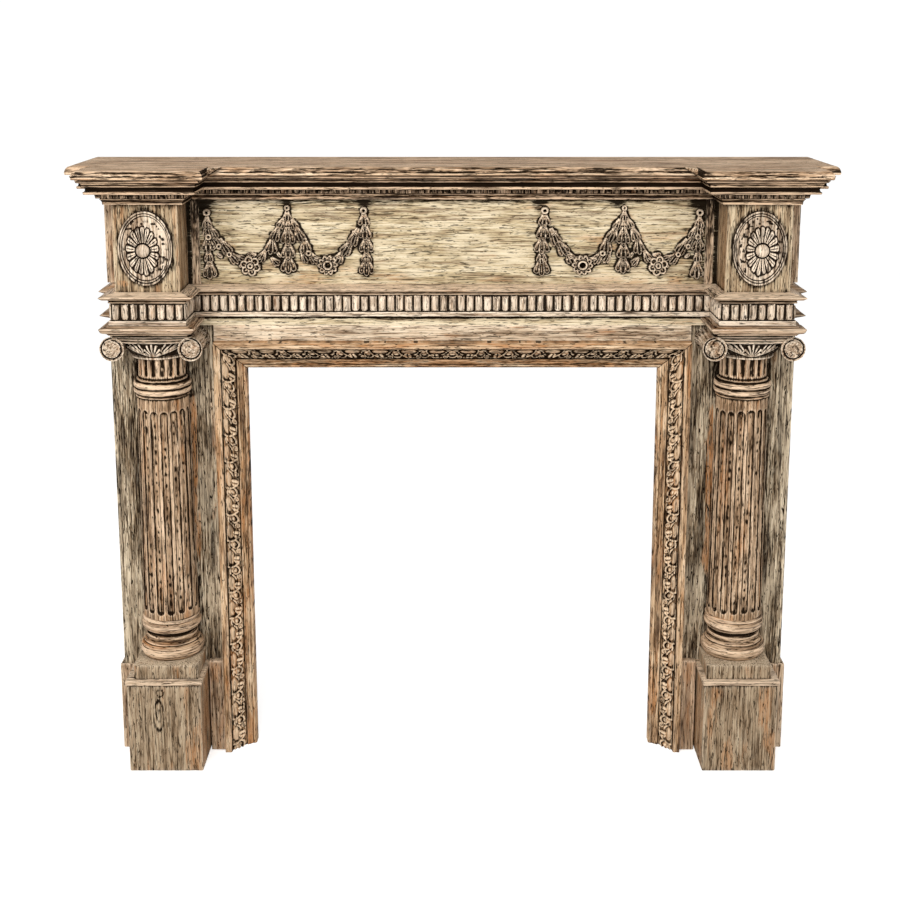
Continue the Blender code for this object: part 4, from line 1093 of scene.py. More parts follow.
def make_bowl(word, side):
    """The round bowl under the band, carved with a palmette and leaves."""
    z0 = Z_CAPITAL
    outline = trace(
        (0.0585, z0), (0.0640, z0 + 0.0010), (0.0665, z0 + 0.0052, 0.3), (0.0655, z0 + 0.0070),
        (0.0790, z0 + 0.0180, 0.06), (0.0905, z0 + 0.0390, 0.08), (0.0930, z0 + 0.0500))
    rows = turned_rows(outline, 0.0013)

    def carve(turn, radius, height):
        x = radius * np.sin(turn) * 1000
        relief = palmette(x, (height - z0) * 1000) / 1000
        relief = relief * smooth_step(z0 + 0.0075, z0 + 0.0105, height)
        glaze_and_shade, wear_and_highlight = shading_of(relief, 2, 0.0008)
        ground = (relief < 0.0007) & (height > z0 + 0.009)
        line = np.exp(-((height - z0 - 0.0073) / 0.0011) ** 2)
        rim = np.exp(-((height - z0 - 0.0035) / 0.0018) ** 2)
        depth = (0.0034 - relief) * smooth_step(z0 + 0.0075, z0 + 0.0095, height)
        return depth, np.clip(glaze_and_shade + 0.75 * ground + line, 0, 1), np.clip(wear_and_highlight + 0.8 * rim, 0, 1)

    turned_piece("bowl_" + word, side, rows, carve, 240, CARVED, ["capital_" + word], 61 + side, 0.0003,
                 axis_x=CAPITAL_X + 0.0015)


# Medallions

def make_medallion(word, side):
    """An oval rim round a dish, with a long ribbed flower and a domed boss."""
    half_x, half_z, flower_half_x, flower_half_z = 0.0653, 0.0903, 0.0420, 0.0640
    rings = np.concatenate(([1.0], np.linspace(0.995, 0.80, 28), np.linspace(0.79, 0.02, 72)))[:, None]
    turn = np.linspace(0, 2 * math.pi, 260, endpoint=False)[None, :]
    x, z = half_x * rings * np.sin(turn), half_z * rings * np.cos(turn)
    rim = 0.0088 * np.sqrt(np.clip(1 - ((rings - 0.955) / 0.045) ** 2, 0, 1))
    inner_rim = 0.0072 * np.sqrt(np.clip(1 - ((rings - 0.885) / 0.030) ** 2, 0, 1))
    dish = 0.0030 - 0.0012 * smooth_step(0.85, 0.70, rings)
    height = np.maximum(np.maximum(rim, inner_rim), dish * (rings < 0.93)) + turn * 0
    flower_x, flower_z = x - 0.0055 * side, z + 0.0050
    reach = np.hypot(flower_x / flower_half_x, flower_z / flower_half_z)
    angle = np.arctan2(flower_x / flower_half_x, flower_z / flower_half_z)
    petals = 17
    phase = angle * petals / (2 * math.pi)
    number = np.round(phase)
    inside = np.abs(phase - number) * 2
    length = 1.0 - 0.10 * np.abs(np.sin(number * 2.9 + side)) - 0.16 * inside ** 3
    body = np.sqrt(np.clip(1 - (inside / 0.80) ** 2, 0, 1)) * smooth_step(1.0, 0.90, reach / length)
    rib = 1 - 0.30 * np.exp(-(inside / 0.20) ** 2)
    flower = (0.0085 - 0.0030 * reach) * body * rib
    height = np.maximum(height, np.where(reach < 1.02, 0.0018 + flower, 0))
    away = np.hypot(flower_x, flower_z) / 0.0158
    height = np.where(away < 1.22, np.minimum(height, 0.0035), height)
    boss = 0.0060 + 0.0170 * np.sqrt(np.clip(1 - away ** 2, 0, 1))
    height = np.where(away < 1.0, boss, height)
    spot = np.stack((x, z, x * 0 + side), -1)
    height = height + 0.0004 * rough(spot, 0.008, 7) * (rings < 0.99)
    height[0] = 0.0
    level_hollow, wear_and_highlight = shading_of(height, 2, 0.0008)
    wear_and_highlight = np.where(rings > 0.84, wear_and_highlight * 0.35, wear_and_highlight)
    blot = np.clip(rough(spot, 0.008, 31) * 0.5, 0, 0.3)
    darkening = level_hollow * 1.8 + 0.10 + blot * (away > 1.1) + 0.12 * (rings > 0.84)
    glaze_and_shade = np.where(rings > 0.98, 0.9, darkening)
    glaze_and_shade = np.maximum(glaze_and_shade, np.exp(-((rings - 0.918) / 0.010) ** 2) * 0.9)
    glaze_and_shade = np.maximum(glaze_and_shade, np.exp(-((rings - 0.848) / 0.014) ** 2) * 0.7)
    pits = (rough(spot, 0.006, 21) > 0.35) * (reach > 0.95) * (reach < 1.25) * 0.8
    glaze_and_shade = np.maximum(glaze_and_shade, pits * (x * -side + z > -0.03))
    points = place(LEG_CENTRE * side + x, BLOCK_FRONT + GAP + height, MEDALLION_Z + z)
    grain = np.stack((z, x, x * 0 + side * 2.0), -1)
    faces = shell_faces(len(rings), 260)
    wear_and_highlight = np.where(away < 1, 0.5, wear_and_highlight)
    finish_piece("oval_medallion_" + word, points, faces, grain, glaze_and_shade, wear_and_highlight, CARVED,
                 ["medallion_" + word], 60)


# Painted shade, glaze and warm stain on the boards. Each function takes places along the front, one height
# and the distance in front of the wall. Shade and glaze are the same left and right, so there x comes without
# its sign.

STREAK_X = 0.6505
PANEL_DROPS = (0.599, 0.402, 0.214)


def close_to(value, edge, reach, amount):
    """Glaze that gathers near an edge and fades away from it."""
    return amount * np.exp(-np.abs(value - edge) / reach)


def bump_at(value, centre, width):
    """1 at the centre, fading to both sides."""
    return np.exp(-((value - centre) / width) ** 2)


def panel_shade_and_glaze(x, z, out):
    """Painted shade under the cornice, under the band and beside the stiles, and dark round the top of each
    drop.
    """
    if z > Z_CORNICE:
        return x * 0 + 0.3
    on_front = out > PANEL_FRONT - 0.004
    if z < Z_BAND + 0.006:
        shadow = 0.9 * smooth_step(Z_BAND - 0.012, Z_BAND - 0.002, z) + close_to(z, Z_BAND, 0.007, 0.3)
        return (shadow + x * 0) * on_front
    tops = bump_at(x[:, None], np.array(PANEL_DROPS), np.array((0.020, 0.013, 0.016)))
    low = np.array((0.085, 0.030, 0.050))
    tops = tops * np.clip((z - Z_CORNICE + low) / (low * 0.6), 0, 1)
    beside = close_to(x, STILE_INNER, 0.014, 0.5) + 0.8 * (x > STILE_OUTER - 0.0005)
    return (close_to(z, Z_CORNICE, 0.012, 0.75) + 0.55 * np.max(tops, axis=1) + beside) * on_front


def panel_warmth(x, z, out):
    """Orange patches along the foot of the frieze and a warm line under the cornice."""
    patches = np.clip(rough(np.stack((x, x * 0 + z * 2, x * 0), -1), 0.045, 6) - 0.25, 0, 1)
    foot = bump_at(z, Z_FRIEZE + 0.006, 0.016) * (2.0 * patches + 0.10)
    return foot - 0.25 * (z > Z_FRIEZE + 0.06) + 0.5 * bump_at(z, Z_CORNICE, 0.008)


def lintel_glaze(x, z, out):
    return close_to(z, OPENING_HEIGHT + FRAME_WIDTH, 0.004, 0.3) + x * 0


def block_shade_and_glaze(x, z, out):
    """Painted shade on the inner side, round the medallion, under the cornice and at the foot, and dark marks
    along the edges.
    """
    on_inner = (x < BLOCK_INNER + 0.004) & (out < BLOCK_FRONT - 0.004)
    on_front = out > BLOCK_FRONT - 0.01
    inner_side = np.where(on_inner, 0.16 + 1.6 * (BLOCK_FRONT - out), 0)
    oval = np.hypot((x - LEG_CENTRE) / 0.0665, (z - MEDALLION_Z) / 0.0915)
    ring = 0.55 * bump_at(oval, 1.0, 0.05) * on_front
    rim = np.minimum(np.abs(x - BLOCK_INNER - 0.011), np.abs(x - BLOCK_OUTER + 0.011))
    sides = 0.42 * bump_at(rim, 0.0, 0.0035) * on_front + 0.06
    return close_to(z, Z_CORNICE, 0.008, 0.5) + close_to(z, Z_FRIEZE, 0.005, 0.35) + inner_side + ring + sides


def block_warmth(x, z, out):
    """Warm sides and inner edges, with a yellow streak low on the left block."""
    streak = 2.0 * bump_at(x, -0.7815, 0.014) * bump_at(z, 1.2535, 0.007)
    edge = 0.5 * bump_at(np.abs(x), BLOCK_INNER, 0.008)
    return np.where(out < BLOCK_FRONT - 0.003, 0.55, streak - 0.1) + edge


def leg_shade_and_glaze(x, z, out):
    """Painted shadow beside the column, painted shade under the mouldings, beside the frame and near the top
    of the plinth cap, and darker at the outer edge, but not on the warm streak.
    """
    beside = np.maximum(np.abs(x - COLUMN_X) - 0.070, 0)
    column = 0.60 * np.exp(-beside / np.where(x > COLUMN_X, 0.008, 0.012)) * (z > Z_DIE)
    column = column * (1 - 0.9 * bump_at(x, STREAK_X, 0.008) * (leg_warmth(x, z, out) > 0.1))
    edge = 0.25 * bump_at(x, LAYER_OUTER, 0.014)
    return (column + edge) * (out > BOARD_FRONT - 0.01) + close_to(z, Z_COURSES, 0.040, 0.36) \
        + close_to(x, FRAME_OUTER, 0.005, 0.2) + close_to(z, Z_DIE, 0.02, 0.15)


def leg_warmth(x, z, out):
    """A tall orange streak just inside the column."""
    upright = smooth_step(0.42, 0.55, z) * smooth_step(0.97, 0.90, z)
    return 1.6 * bump_at(np.abs(x), STREAK_X, 0.009) * upright - 0.35


def stile_shade_and_glaze(x, z, out):
    # Dark all over with random marks, and painted shade under the cornice.
    return 0.30 + close_to(z, Z_CORNICE, 0.05, 0.5) + 0.25 * rough(place(x, out, z), 0.008, 3)


def plinth_shade_and_glaze(x, z, out):
    """Painted shade under the cap, darker and worn at the foot, with two old knots on the left plinth."""
    knot = np.hypot((x + 0.7386) / 0.0125, (z - 0.150) / 0.040)
    small = np.hypot(x + 0.734, z - 0.211) / 0.010
    marks = 0.75 * bump_at(knot, 1, 0.16) + 0.6 * bump_at(knot, 0.4, 0.14) + 0.8 * bump_at(small, 0.9, 0.25)
    worn = 0.3 * np.clip(rough(place(x, out, z), 0.012, 5), 0, 1) * math.exp(-z / 0.05)
    cap = close_to(z, Z_PLINTH + GAP, 0.006, 0.7)
    return cap + close_to(z, 0.0, 0.010, 0.3) + worn + marks * (out > PLINTH_FRONT - 0.007)


def plinth_warmth(x, z, out):
    """Warm sides, edges and foot."""
    edge = np.exp(-np.abs(np.abs(np.abs(x) - LEG_CENTRE) - PLINTH_HALF) / 0.02)
    return np.where(out < PLINTH_FRONT - 0.003, 0.6, 0.35 * edge + 0.25 * math.exp(-z / 0.05) - 0.05)


def even(level):
    """The same glaze or stain all over a board."""
    return lambda x, z, out: x * 0 + level


def make_boards():
    """The flat boards, the end blocks, the plinths and the skirts."""
    behind, panel_back = BOARD_FRONT + GAP, PANEL_FRONT + GAP
    board("frieze_panel", rectangle(-BLOCK_OUTER, BLOCK_OUTER, behind, PANEL_FRONT), Z_COURSES,
          Z_SHELF - GAP, CREAM, ["frieze_board"], "x", 1, radius=0.0008, gloom=panel_shade_and_glaze,
          warmth=panel_warmth, spacing=0.007)
    board("lintel", rectangle(-FRAME_OUTER, FRAME_OUTER, PANEL_FRONT - BOARD_THICKNESS, PANEL_FRONT),
          OPENING_HEIGHT + FRAME_WIDTH + GAP, Z_COURSES - GAP, LINTEL_WOOD, ["lintel_board"], "x", 2,
          radius=0.0008, gloom=lintel_glaze, spacing=0.007)
    inner, outer = BLOCK_INNER + BLOCK_WALL, BLOCK_OUTER - BLOCK_WALL
    inside = BLOCK_FRONT - BLOCK_WALL
    box = [(BLOCK_INNER, panel_back), (BLOCK_INNER, BLOCK_FRONT), (BLOCK_OUTER, BLOCK_FRONT),
           (BLOCK_OUTER, panel_back), (outer, panel_back), (outer, inside), (inner, inside),
           (inner, panel_back)]
    cap_half = PLINTH_HALF + CAP_LIP
    plinth = rectangle(LEG_CENTRE - PLINTH_HALF, LEG_CENTRE + PLINTH_HALF, behind, PLINTH_FRONT)
    cap = rectangle(LEG_CENTRE - cap_half, LEG_CENTRE + cap_half, behind, PLINTH_FRONT + CAP_LIP)
    die = rectangle(COLUMN_X - DIE_HALF, COLUMN_X + DIE_HALF, behind, DIE_FRONT)
    inner_skirt = rectangle(FRAME_OUTER + GAP, LEG_CENTRE - cap_half - GAP, behind, BOARD_FRONT + 0.0245)
    face, stop, thick = LAYER_OUTER + GAP, LEG_CENTRE + cap_half + GAP, 0.009
    outer_skirt = [(face, 0.0), (face + thick, 0.0), (face + thick, behind + thick), (stop, behind + thick),
                   (stop, behind), (face, behind)]
    stile = rectangle(STILE_INNER, STILE_OUTER, panel_back, PANEL_FRONT + 0.0043)
    for word, side in SIDES:
        def pair(name, node, outline, bottom, top, wood_used, seed, grain_axis="z", **looks):
            board("%s_%s" % (name, word), mirrored(outline, side), bottom, top, wood_used,
                  ["%s_%s" % (node, word)], grain_axis, seed + side, **looks)

        pair("end_block", "frieze_block", box, Z_COURSES + GAP, Z_SHELF - GAP, BLOCK_WOOD, 20,
             gloom=block_shade_and_glaze, warmth=block_warmth, spacing=0.006)
        pair("frieze_side", "frieze_return", corner_outline(LAYER_OUTER, BOARD_FRONT, BLOCK_OUTER + GAP),
             Z_FRIEZE + GAP, Z_SHELF - GAP, TAN, 22, radius=0.0008, gloom=even(0.12))
        pair("leg_board", "pilaster_board", corner_outline(LAYER_OUTER, BOARD_FRONT, FRAME_OUTER + GAP),
             0.0, Z_COURSES - GAP, GREY, 24, radius=0.0010, gloom=leg_shade_and_glaze, warmth=leg_warmth, spacing=0.007)
        pair("plinth_block", "plinth", plinth, 0.0, Z_PLINTH, PLINTH, 26,
             gloom=lambda x, z, out: plinth_shade_and_glaze(x * side, z, out), warmth=plinth_warmth, spacing=0.004)
        pair("plinth_cap", "plinth", cap, Z_PLINTH + GAP, Z_DIE, TAN, 28, "x")
        pair("die_block", "die", die, Z_DIE + GAP, Z_BASE, PLINTH, 30,
             gloom=lambda x, z, out: close_to(z, Z_DIE, 0.006, 0.5) + x * 0)
        pair("inner_skirt", "skirt_inner", inner_skirt, 0.0, Z_INNER_SKIRT, TAN, 32,
             gloom=even(0.08), warmth=even(0.3))
        pair("outer_skirt", "skirt_outer", outer_skirt, 0.0, Z_OUTER_SKIRT, TAN, 34, gloom=even(0.10))
        pair("stile_strip", "stile", stile, Z_FRIEZE + GAP, Z_CORNICE - GAP, TAN, 36,
             radius=0.0008, gloom=stile_shade_and_glaze, spacing=0.006)


# Garlands


def husk(u, v, x, z, length, half, angle, height):
    """A bell flower seen from the side: three cupped petals with raised rims, drawn in to a narrow neck."""
    shape = np.zeros(np.shape(u))
    reach = length + half
    near = (np.abs(u - x) < reach) & (np.abs(v - z) < reach)
    du, dv = u[near] - x, v[near] - z
    a = (du * math.cos(angle) + dv * math.sin(angle)) / length
    b = (dv * math.cos(angle) - du * math.sin(angle)) / half
    side = b / (0.36 + 0.64 * smooth_step(-0.05, 0.70, a))
    petal = np.clip(np.round(side / 0.64), -1, 1)
    t = (side - 0.64 * petal) / 0.38
    mouth = 1.0 - 0.12 * np.abs(petal) - 0.14 * t ** 2
    edge = np.minimum(1 - np.abs(t), (mouth - a) * length / (0.38 * half))
    rim = np.exp(-((edge - 0.30) / 0.17) ** 2)
    cup = 0.40 + 0.30 * smooth_step(0.75, 0.20, a)
    dome = 0.60 + 0.40 * np.sqrt(np.clip(1 - side ** 2, 0, 1))
    level = np.maximum(rim, cup) * smooth_step(-0.02, 0.20, edge) * dome * (0.72 + 0.28 * a)
    shape[near] = np.where((edge > -0.02) & (a > 0), height * np.clip(level, 0.10, 1), 0)
    return shape


def cupped_petal(u, v, x, z, length, half, angle, height):
    """A round petal with a raised rim and a sunk middle."""
    near = (np.abs(u - x) < length) & (np.abs(v - z) < length)
    shape = np.zeros(np.shape(u))
    du, dv = u[near] - x, v[near] - z
    along = (du * math.cos(angle) + dv * math.sin(angle)) / length
    across = (dv * math.cos(angle) - du * math.sin(angle)) / half
    size = np.hypot(along, across)
    level = 0.58 + 0.42 * np.exp(-((size - 0.72) / 0.20) ** 2)
    shape[near] = np.where(size < 1, height * level * smooth_step(1.0, 0.86, size), 0)
    return shape


def curled_ring(u, v, x, z, radius, height):
    """A small rolled ring with a deep eye."""
    away = np.hypot(u - x, v - z) / radius
    return height * np.sqrt(np.clip(1 - ((away - 0.68) / 0.34) ** 2, 0, 1))


def round_flower(u, v, x, z, radius, petals, height, turn, eye):
    """An open flower: cupped petals round a raised ring."""
    shape = np.zeros(np.shape(u))
    for k in range(petals):
        a = turn + 2 * math.pi * k / petals
        petal_x, petal_z = x + radius * 0.62 * math.cos(a), z + radius * 0.62 * math.sin(a)
        petal = cupped_petal(u, v, petal_x, petal_z, radius * 0.42, radius * 2.6 / petals, a + 0.35,
                             height * (0.84 + 0.16 * math.sin(5 * a)))
        shape = np.maximum(shape, petal)
    away = np.hypot(u - x, v - z) / radius
    shape = np.where(away < eye + 0.10, np.minimum(shape, height * 0.25), shape)
    ring = height * np.sqrt(np.clip(1 - ((away - eye + 0.10) / 0.11) ** 2, 0, 1))
    return np.maximum(shape, ring)


DOWN = -math.pi / 2

# Each husk is (across, up, length, half width, direction, height), in millimetres, from its neck.
# Across is measured from the outer drop towards the outside, up from the foot of the frieze.
OUTER_DROP = (
    (-1.9, 167, 33, 12.5, DOWN, 15), (-3.0, 151, 38, 13.0, DOWN, 14), (-4, 116, 38, 17.5, DOWN, 18),
    (-3.4, 84, 33, 11.5, DOWN, 13), (-5.4, 56, 44, 17.5, DOWN, 17),
)
FIRST_SWAG = (
    (-7, 146, 42, 10.5, -2.0, 13), (-12, 124, 44, 12.5, -2.10, 15), (-32, 112, 50, 13, -2.12, 16),
    (-50, 82, 42, 12, -2.25, 15), (-66, 70, 30, 10, -2.7, 13), (-143, 84, 36, 11.5, -1.05, 15),
    (-156, 66, 28, 10, -2.3, 15), (-120, 74, 24, 9, -0.3, 12),
)
MIDDLE_DROP = (
    (-197, 181, 30, 11.5, DOWN, 12), (-189, 163, 32, 10.5, -1.13, 13), (-199, 157, 28, 10, DOWN, 14),
    (-209, 161, 31, 10, -1.91, 13), (-176, 142, 42, 13, -1.2, 15), (-218, 141, 42, 13.5, -1.93, 15),
    (-198, 140, 46, 18.5, DOWN, 18), (-160, 112, 40, 16, -1.42, 16), (-238, 114, 42, 14.5, -1.66, 16),
    (-198, 102, 42, 18, DOWN, 18), (-198, 68, 42, 20, DOWN, 18),
)
SECOND_SWAG = (
    (-230, 82, 34, 10.5, -2.03, 13), (-250, 80, 36, 11, -2.1, 14), (-266, 66, 26, 9, -2.5, 12),
    (-330, 80, 34, 13, -1.10, 15), (-352, 106, 42, 14, -1.03, 15), (-369, 138, 52, 13, -1.19, 14),
    (-318, 66, 22, 9, -0.5, 12),
)
INNER_DROP = (
    (-383.6, 174, 34, 15, DOWN, 15), (-386, 147, 39, 16.5, DOWN, 17), (-389, 115, 41, 18.5, DOWN, 18),
    (-389, 82, 32, 13, DOWN, 14), (-389, 64, 44, 19.5, DOWN, 17),
)
# Small rings as (across, up, radius, height), and small leaves as (across, up, direction)
RINGS = ((-1.6, 176, 9, 14), (-197, 187, 7, 12), (-383, 181, 9, 14), (-5.4, 117, 8, 18), (-248, 77, 7.5, 17),
         (-30, 94, 7, 17), (-55, 74, 7, 16))
SMALL_LEAVES = ((-20, 92, 2.4), (-30, 70, 0.6), (-84, 46, -0.4), (-128, 64, 2.6), (-176, 72, 0.9),
                (-266, 62, 0.4), (-322, 66, 0.5))


def garland_relief(u, v):
    """One group of carving: three drops, two swags and the flower in the middle of each swag."""
    shape = np.zeros(np.shape(u))
    for x, z, radius, height in RINGS:
        shape = np.maximum(shape, curled_ring(u, v, x, z, radius, height))
    for group in (OUTER_DROP, FIRST_SWAG, MIDDLE_DROP, SECOND_SWAG, INNER_DROP):
        for x, z, length, half, angle, height in group:
            shape = np.maximum(shape, husk(u, v, x, z, length, half, angle, height))
    for x, z, angle in SMALL_LEAVES:
        shape = np.maximum(shape, lobe(u, v, (x, z), 9, 5, angle, 11, 0.5))
    shape = np.maximum(shape, lobe(u, v, (-362, 124), 10, 5, 0.8, 11, 0.5))
    rosette = round_flower(u, v, -105.3, 45.5, 25.0, 6, 18, 0.3, 0.30)
    daisy = round_flower(u, v, -294.3, 47, 25.0, 10, 17, 0.5, 0.48)
    return np.maximum(shape, np.maximum(rosette, daisy))


# The right group hangs a little wider than the left
SPREAD_AT = (-385, -294, -197, -105, 0)
SPREAD = (7.5, 12.6, 16.7, 9.2, 3.4)


def make_garland(word, side):
    """Three drops, two swags and two flowers, with dark glaze and painted shadow lying round their foot."""
    pitch = 0.0010
    x = np.arange(0.193, 0.6155, pitch)
    z = np.arange(Z_FRIEZE + 0.010, Z_CORNICE - 0.006, pitch)
    grid_x, grid_z = np.meshgrid(x, z, indexing="ij")
    across = (grid_x - 0.599) * 1000
    if side > 0:
        across = across - np.interp(across, SPREAD_AT, SPREAD)
    height = garland_relief(across, (grid_z - Z_FRIEZE) * 1000) / 1000
    spot = np.stack((grid_x, grid_z, grid_x * 0 + side), -1)
    height = np.where(height > 0.0005, height + 0.0006 * rough(spot, 0.006, 13), 0)
    height = np.clip(height, 0, 0.0205)
    border = soften(soften((height > 0.001).astype(float), 4), 5)
    kept = border > 0.004
    cells = kept[:-1, :-1] & kept[1:, :-1] & kept[1:, 1:] & kept[:-1, 1:]
    glaze_and_shade, wear_and_highlight = shading_of(height, 2, 0.0013)
    broad = shading_of(height, 5, 0.0050)[0]
    ground = height < 0.001
    # The ground gets a ragged dark border of glaze and painted shadow, and the panel's painted shade.
    ragged = border * (2.5 + 2.4 * rough(spot, 0.010, 17) + 1.3 * rough(spot, 0.004, 19))
    panel = np.stack([panel_shade_and_glaze(x, level, PANEL_FRONT) for level in z], axis=1)
    glaze_and_shade = np.clip(np.where(ground, np.maximum(ragged, panel), glaze_and_shade * 1.25 + 0.30 * broad), 0, 1)
    wear_and_highlight = np.where(ground, 0, np.clip(wear_and_highlight * 2.3, 0, 1))
    rows, columns = grid_x.shape
    index = np.arange(rows * columns).reshape(rows, columns)
    quads = np.stack((index[:-1, :-1], index[1:, :-1], index[1:, 1:], index[:-1, 1:]), -1)[cells]
    used, flat = np.unique(quads, return_inverse=True)
    flat = flat.reshape(quads.shape)
    front = place(grid_x * side, PANEL_FRONT + 0.0004 + height, grid_z).reshape(-1, 3)[used]
    back = place(grid_x * side, PANEL_FRONT + 0.0001, grid_z).reshape(-1, 3)[used]
    edges = np.concatenate([flat[:, (k, (k + 1) % 4)] for k in range(4)])
    keys = np.sort(edges, axis=1)
    _, first, counts = np.unique(keys, axis=0, return_index=True, return_counts=True)
    rim = edges[first[counts == 1]]
    count = len(used)
    walls = np.stack((rim[:, 0], rim[:, 1], rim[:, 1] + count, rim[:, 0] + count), -1)
    faces = flat.tolist() + (flat[:, ::-1] + count).tolist() + walls.tolist()
    points = np.concatenate((front, back))

    def on_front(field):
        """The field at the front points, and nothing at the back."""
        values = field.reshape(-1)[used]
        return np.concatenate((values, values * 0))

    grain = points[:, (0, 2, 1)] + np.array((3.1, 1.7, 0.0))
    grain[:, 2] = np.where(on_front(ground.astype(float)) > 0.5, WALL_Y - PANEL_FRONT, grain[:, 2] * 2)
    flat_face = ground.reshape(-1)[quads].all(axis=1)
    wood_index = np.concatenate((flat_face, np.ones(len(quads) + len(walls), bool))).astype(np.int32)
    item = finish_piece("garland_carving_" + word, points, faces, grain, on_front(glaze_and_shade), on_front(wear_and_highlight),
                        GARLAND_WOOD, ["garland_" + word], 70, wood_index=wood_index,
                        flat_back=WALL_Y - PANEL_FRONT - 0.0001)
    item.data.materials.append(CREAM)


# Rows of reeds and small leaves, made once and set along a line

def row_tree():
    """Sets a carved unit at even steps along each line, turned to face outward, a little irregular."""
    tree = bpy.data.node_groups.new("carved_row", "GeometryNodeTree")
    for word, kind in (("Lines", "Geometry"), ("Unit", "Object"), ("Pitch", "Float"),
                       ("Unevenness", "Float"), ("Seed", "Int"), ("Finish", "Material")):
        tree.interface.new_socket(word, in_out='INPUT', socket_type="NodeSocket" + kind)
    tree.interface.new_socket("Row", in_out='OUTPUT', socket_type='NodeSocketGeometry')

    def add(kind):
        return tree.nodes.new(kind)

    def join(source, output, target, socket):
        tree.links.new(source.outputs[output], target.inputs[socket])

    start, end = add("NodeGroupInput"), add("NodeGroupOutput")
    to_curve = add("GeometryNodeMeshToCurve")
    resample = add("GeometryNodeResampleCurve")
    resample.mode = 'LENGTH'
    tangent = add("GeometryNodeInputTangent")
    align = add("FunctionNodeAlignRotationToVector")
    align.axis = 'X'
    align.pivot_axis = 'Z'
    unit = add("GeometryNodeObjectInfo")
    instance = add("GeometryNodeInstanceOnPoints")
    size = add("FunctionNodeRandomValue")
    size.data_type = 'FLOAT_VECTOR'
    real = add("GeometryNodeRealizeInstances")
    finish = add("GeometryNodeSetMaterial")
    join(start, "Lines", to_curve, "Mesh")
    join(to_curve, "Curve", resample, "Curve")
    join(start, "Pitch", resample, "Length")
    join(resample, "Curve", instance, "Points")
    join(tangent, "Tangent", align, "Vector")
    join(start, "Unit", unit, "Object")
    join(unit, "Geometry", instance, "Instance")
    join(align, "Rotation", instance, "Rotation")
    for operation, socket in (('SUBTRACT', "Min"), ('ADD', "Max")):
        limit = add("ShaderNodeMath")
        limit.operation = operation
        limit.inputs[0].default_value = 1.0
        join(start, "Unevenness", limit, 1)
        join(limit, 0, size, socket)
    join(start, "Seed", size, "Seed")
    join(size, "Value", instance, "Scale")
    join(instance, "Instances", real, "Geometry")
    join(real, "Geometry", finish, "Geometry")
    join(start, "Finish", finish, "Material")
    join(finish, "Geometry", end, "Row")
    return tree


def unit_mesh(name, width, height, depth, rise_of, columns=10, rows=12):
    """A small carved unit facing -Y with its foot at the origin, closed at the back."""
    x = np.linspace(-1, 1, columns)[None, :] + np.zeros((rows, 1))
    z = np.linspace(0, 1, rows)[:, None] + np.zeros((1, columns))
    lift = rise_of(x, z) * depth
    front = np.stack((x * width / 2, -lift, z * height), -1).reshape(-1, 3)
    count = rows * columns
    index = np.arange(count).reshape(rows, columns)
    border = np.concatenate((index[0], index[1:, -1], index[-1, -2::-1], index[-2:0:-1, 0])).tolist()
    back = front[border] * (1, 0, 1) + (0, 0.0012, 0)
    edge = list(range(count, count + len(border)))
    walls = list(zip(border, border[1:] + border[:1], edge[1:] + edge[:1], edge))
    faces = grid_faces(rows, columns) + walls + [edge]
    mesh = bpy.data.meshes.new(name)
    mesh.from_pydata(np.concatenate((front, back)).tolist(), [], faces)
    face_outward(mesh)
    return new_object(name, mesh)


def carved_row(name, tree, unit, lines, pitch, unevenness, seed, wood_used, depth_of, replaced):
    """Run the row tree along straight lines, then keep the result as one plain piece."""
    mesh = bpy.data.meshes.new(name + "_lines")
    points, edges = [], []
    for start, stop in lines:
        edges.append((len(points), len(points) + 1))
        points += [start, stop]
    mesh.from_pydata(points, edges, [])
    guide = new_object(name + "_lines", mesh)
    rows = guide.modifiers.new("row", 'NODES')
    rows.node_group = tree
    sockets = {item.name: item.identifier for item in tree.interface.items_tree if item.in_out == 'INPUT'}
    for word, value in (("Unit", unit), ("Pitch", pitch), ("Unevenness", unevenness), ("Seed", seed),
                        ("Finish", wood_used)):
        rows[sockets[word]] = value
    ready = guide.evaluated_get(bpy.context.evaluated_depsgraph_get())
    result = bpy.data.meshes.new_from_object(ready)
    co = np.zeros(len(result.vertices) * 3, np.float32)
    result.vertices.foreach_get("co", co)
    co = co.reshape(-1, 3).astype(float)
    faces = [list(face.vertices) for face in result.polygons]
    bpy.data.objects.remove(guide)
    glaze_and_shade, wear_and_highlight = depth_of(co)
    finish_piece(name, co, faces, co[:, (2, 0, 1)], glaze_and_shade, wear_and_highlight, wood_used, replaced, 60)


def side_lines(path, projection, z, margin):
    """One straight line on each side of a path, at a projection, stopping short of the corners."""
    path, steps = mitre_steps(path)
    lines = []
    for k in range(len(path) - 1):
        start, stop = path[k] + steps[k] * projection, path[k + 1] + steps[k + 1] * projection
        along = (stop - start) / np.linalg.norm(stop - start)
        first, last = start + along * margin, stop - along * margin
        if np.linalg.norm(last - first) > 0.01:
            lines.append((tuple(place(first[0], first[1], z)), tuple(place(last[0], last[1], z))))
    return lines


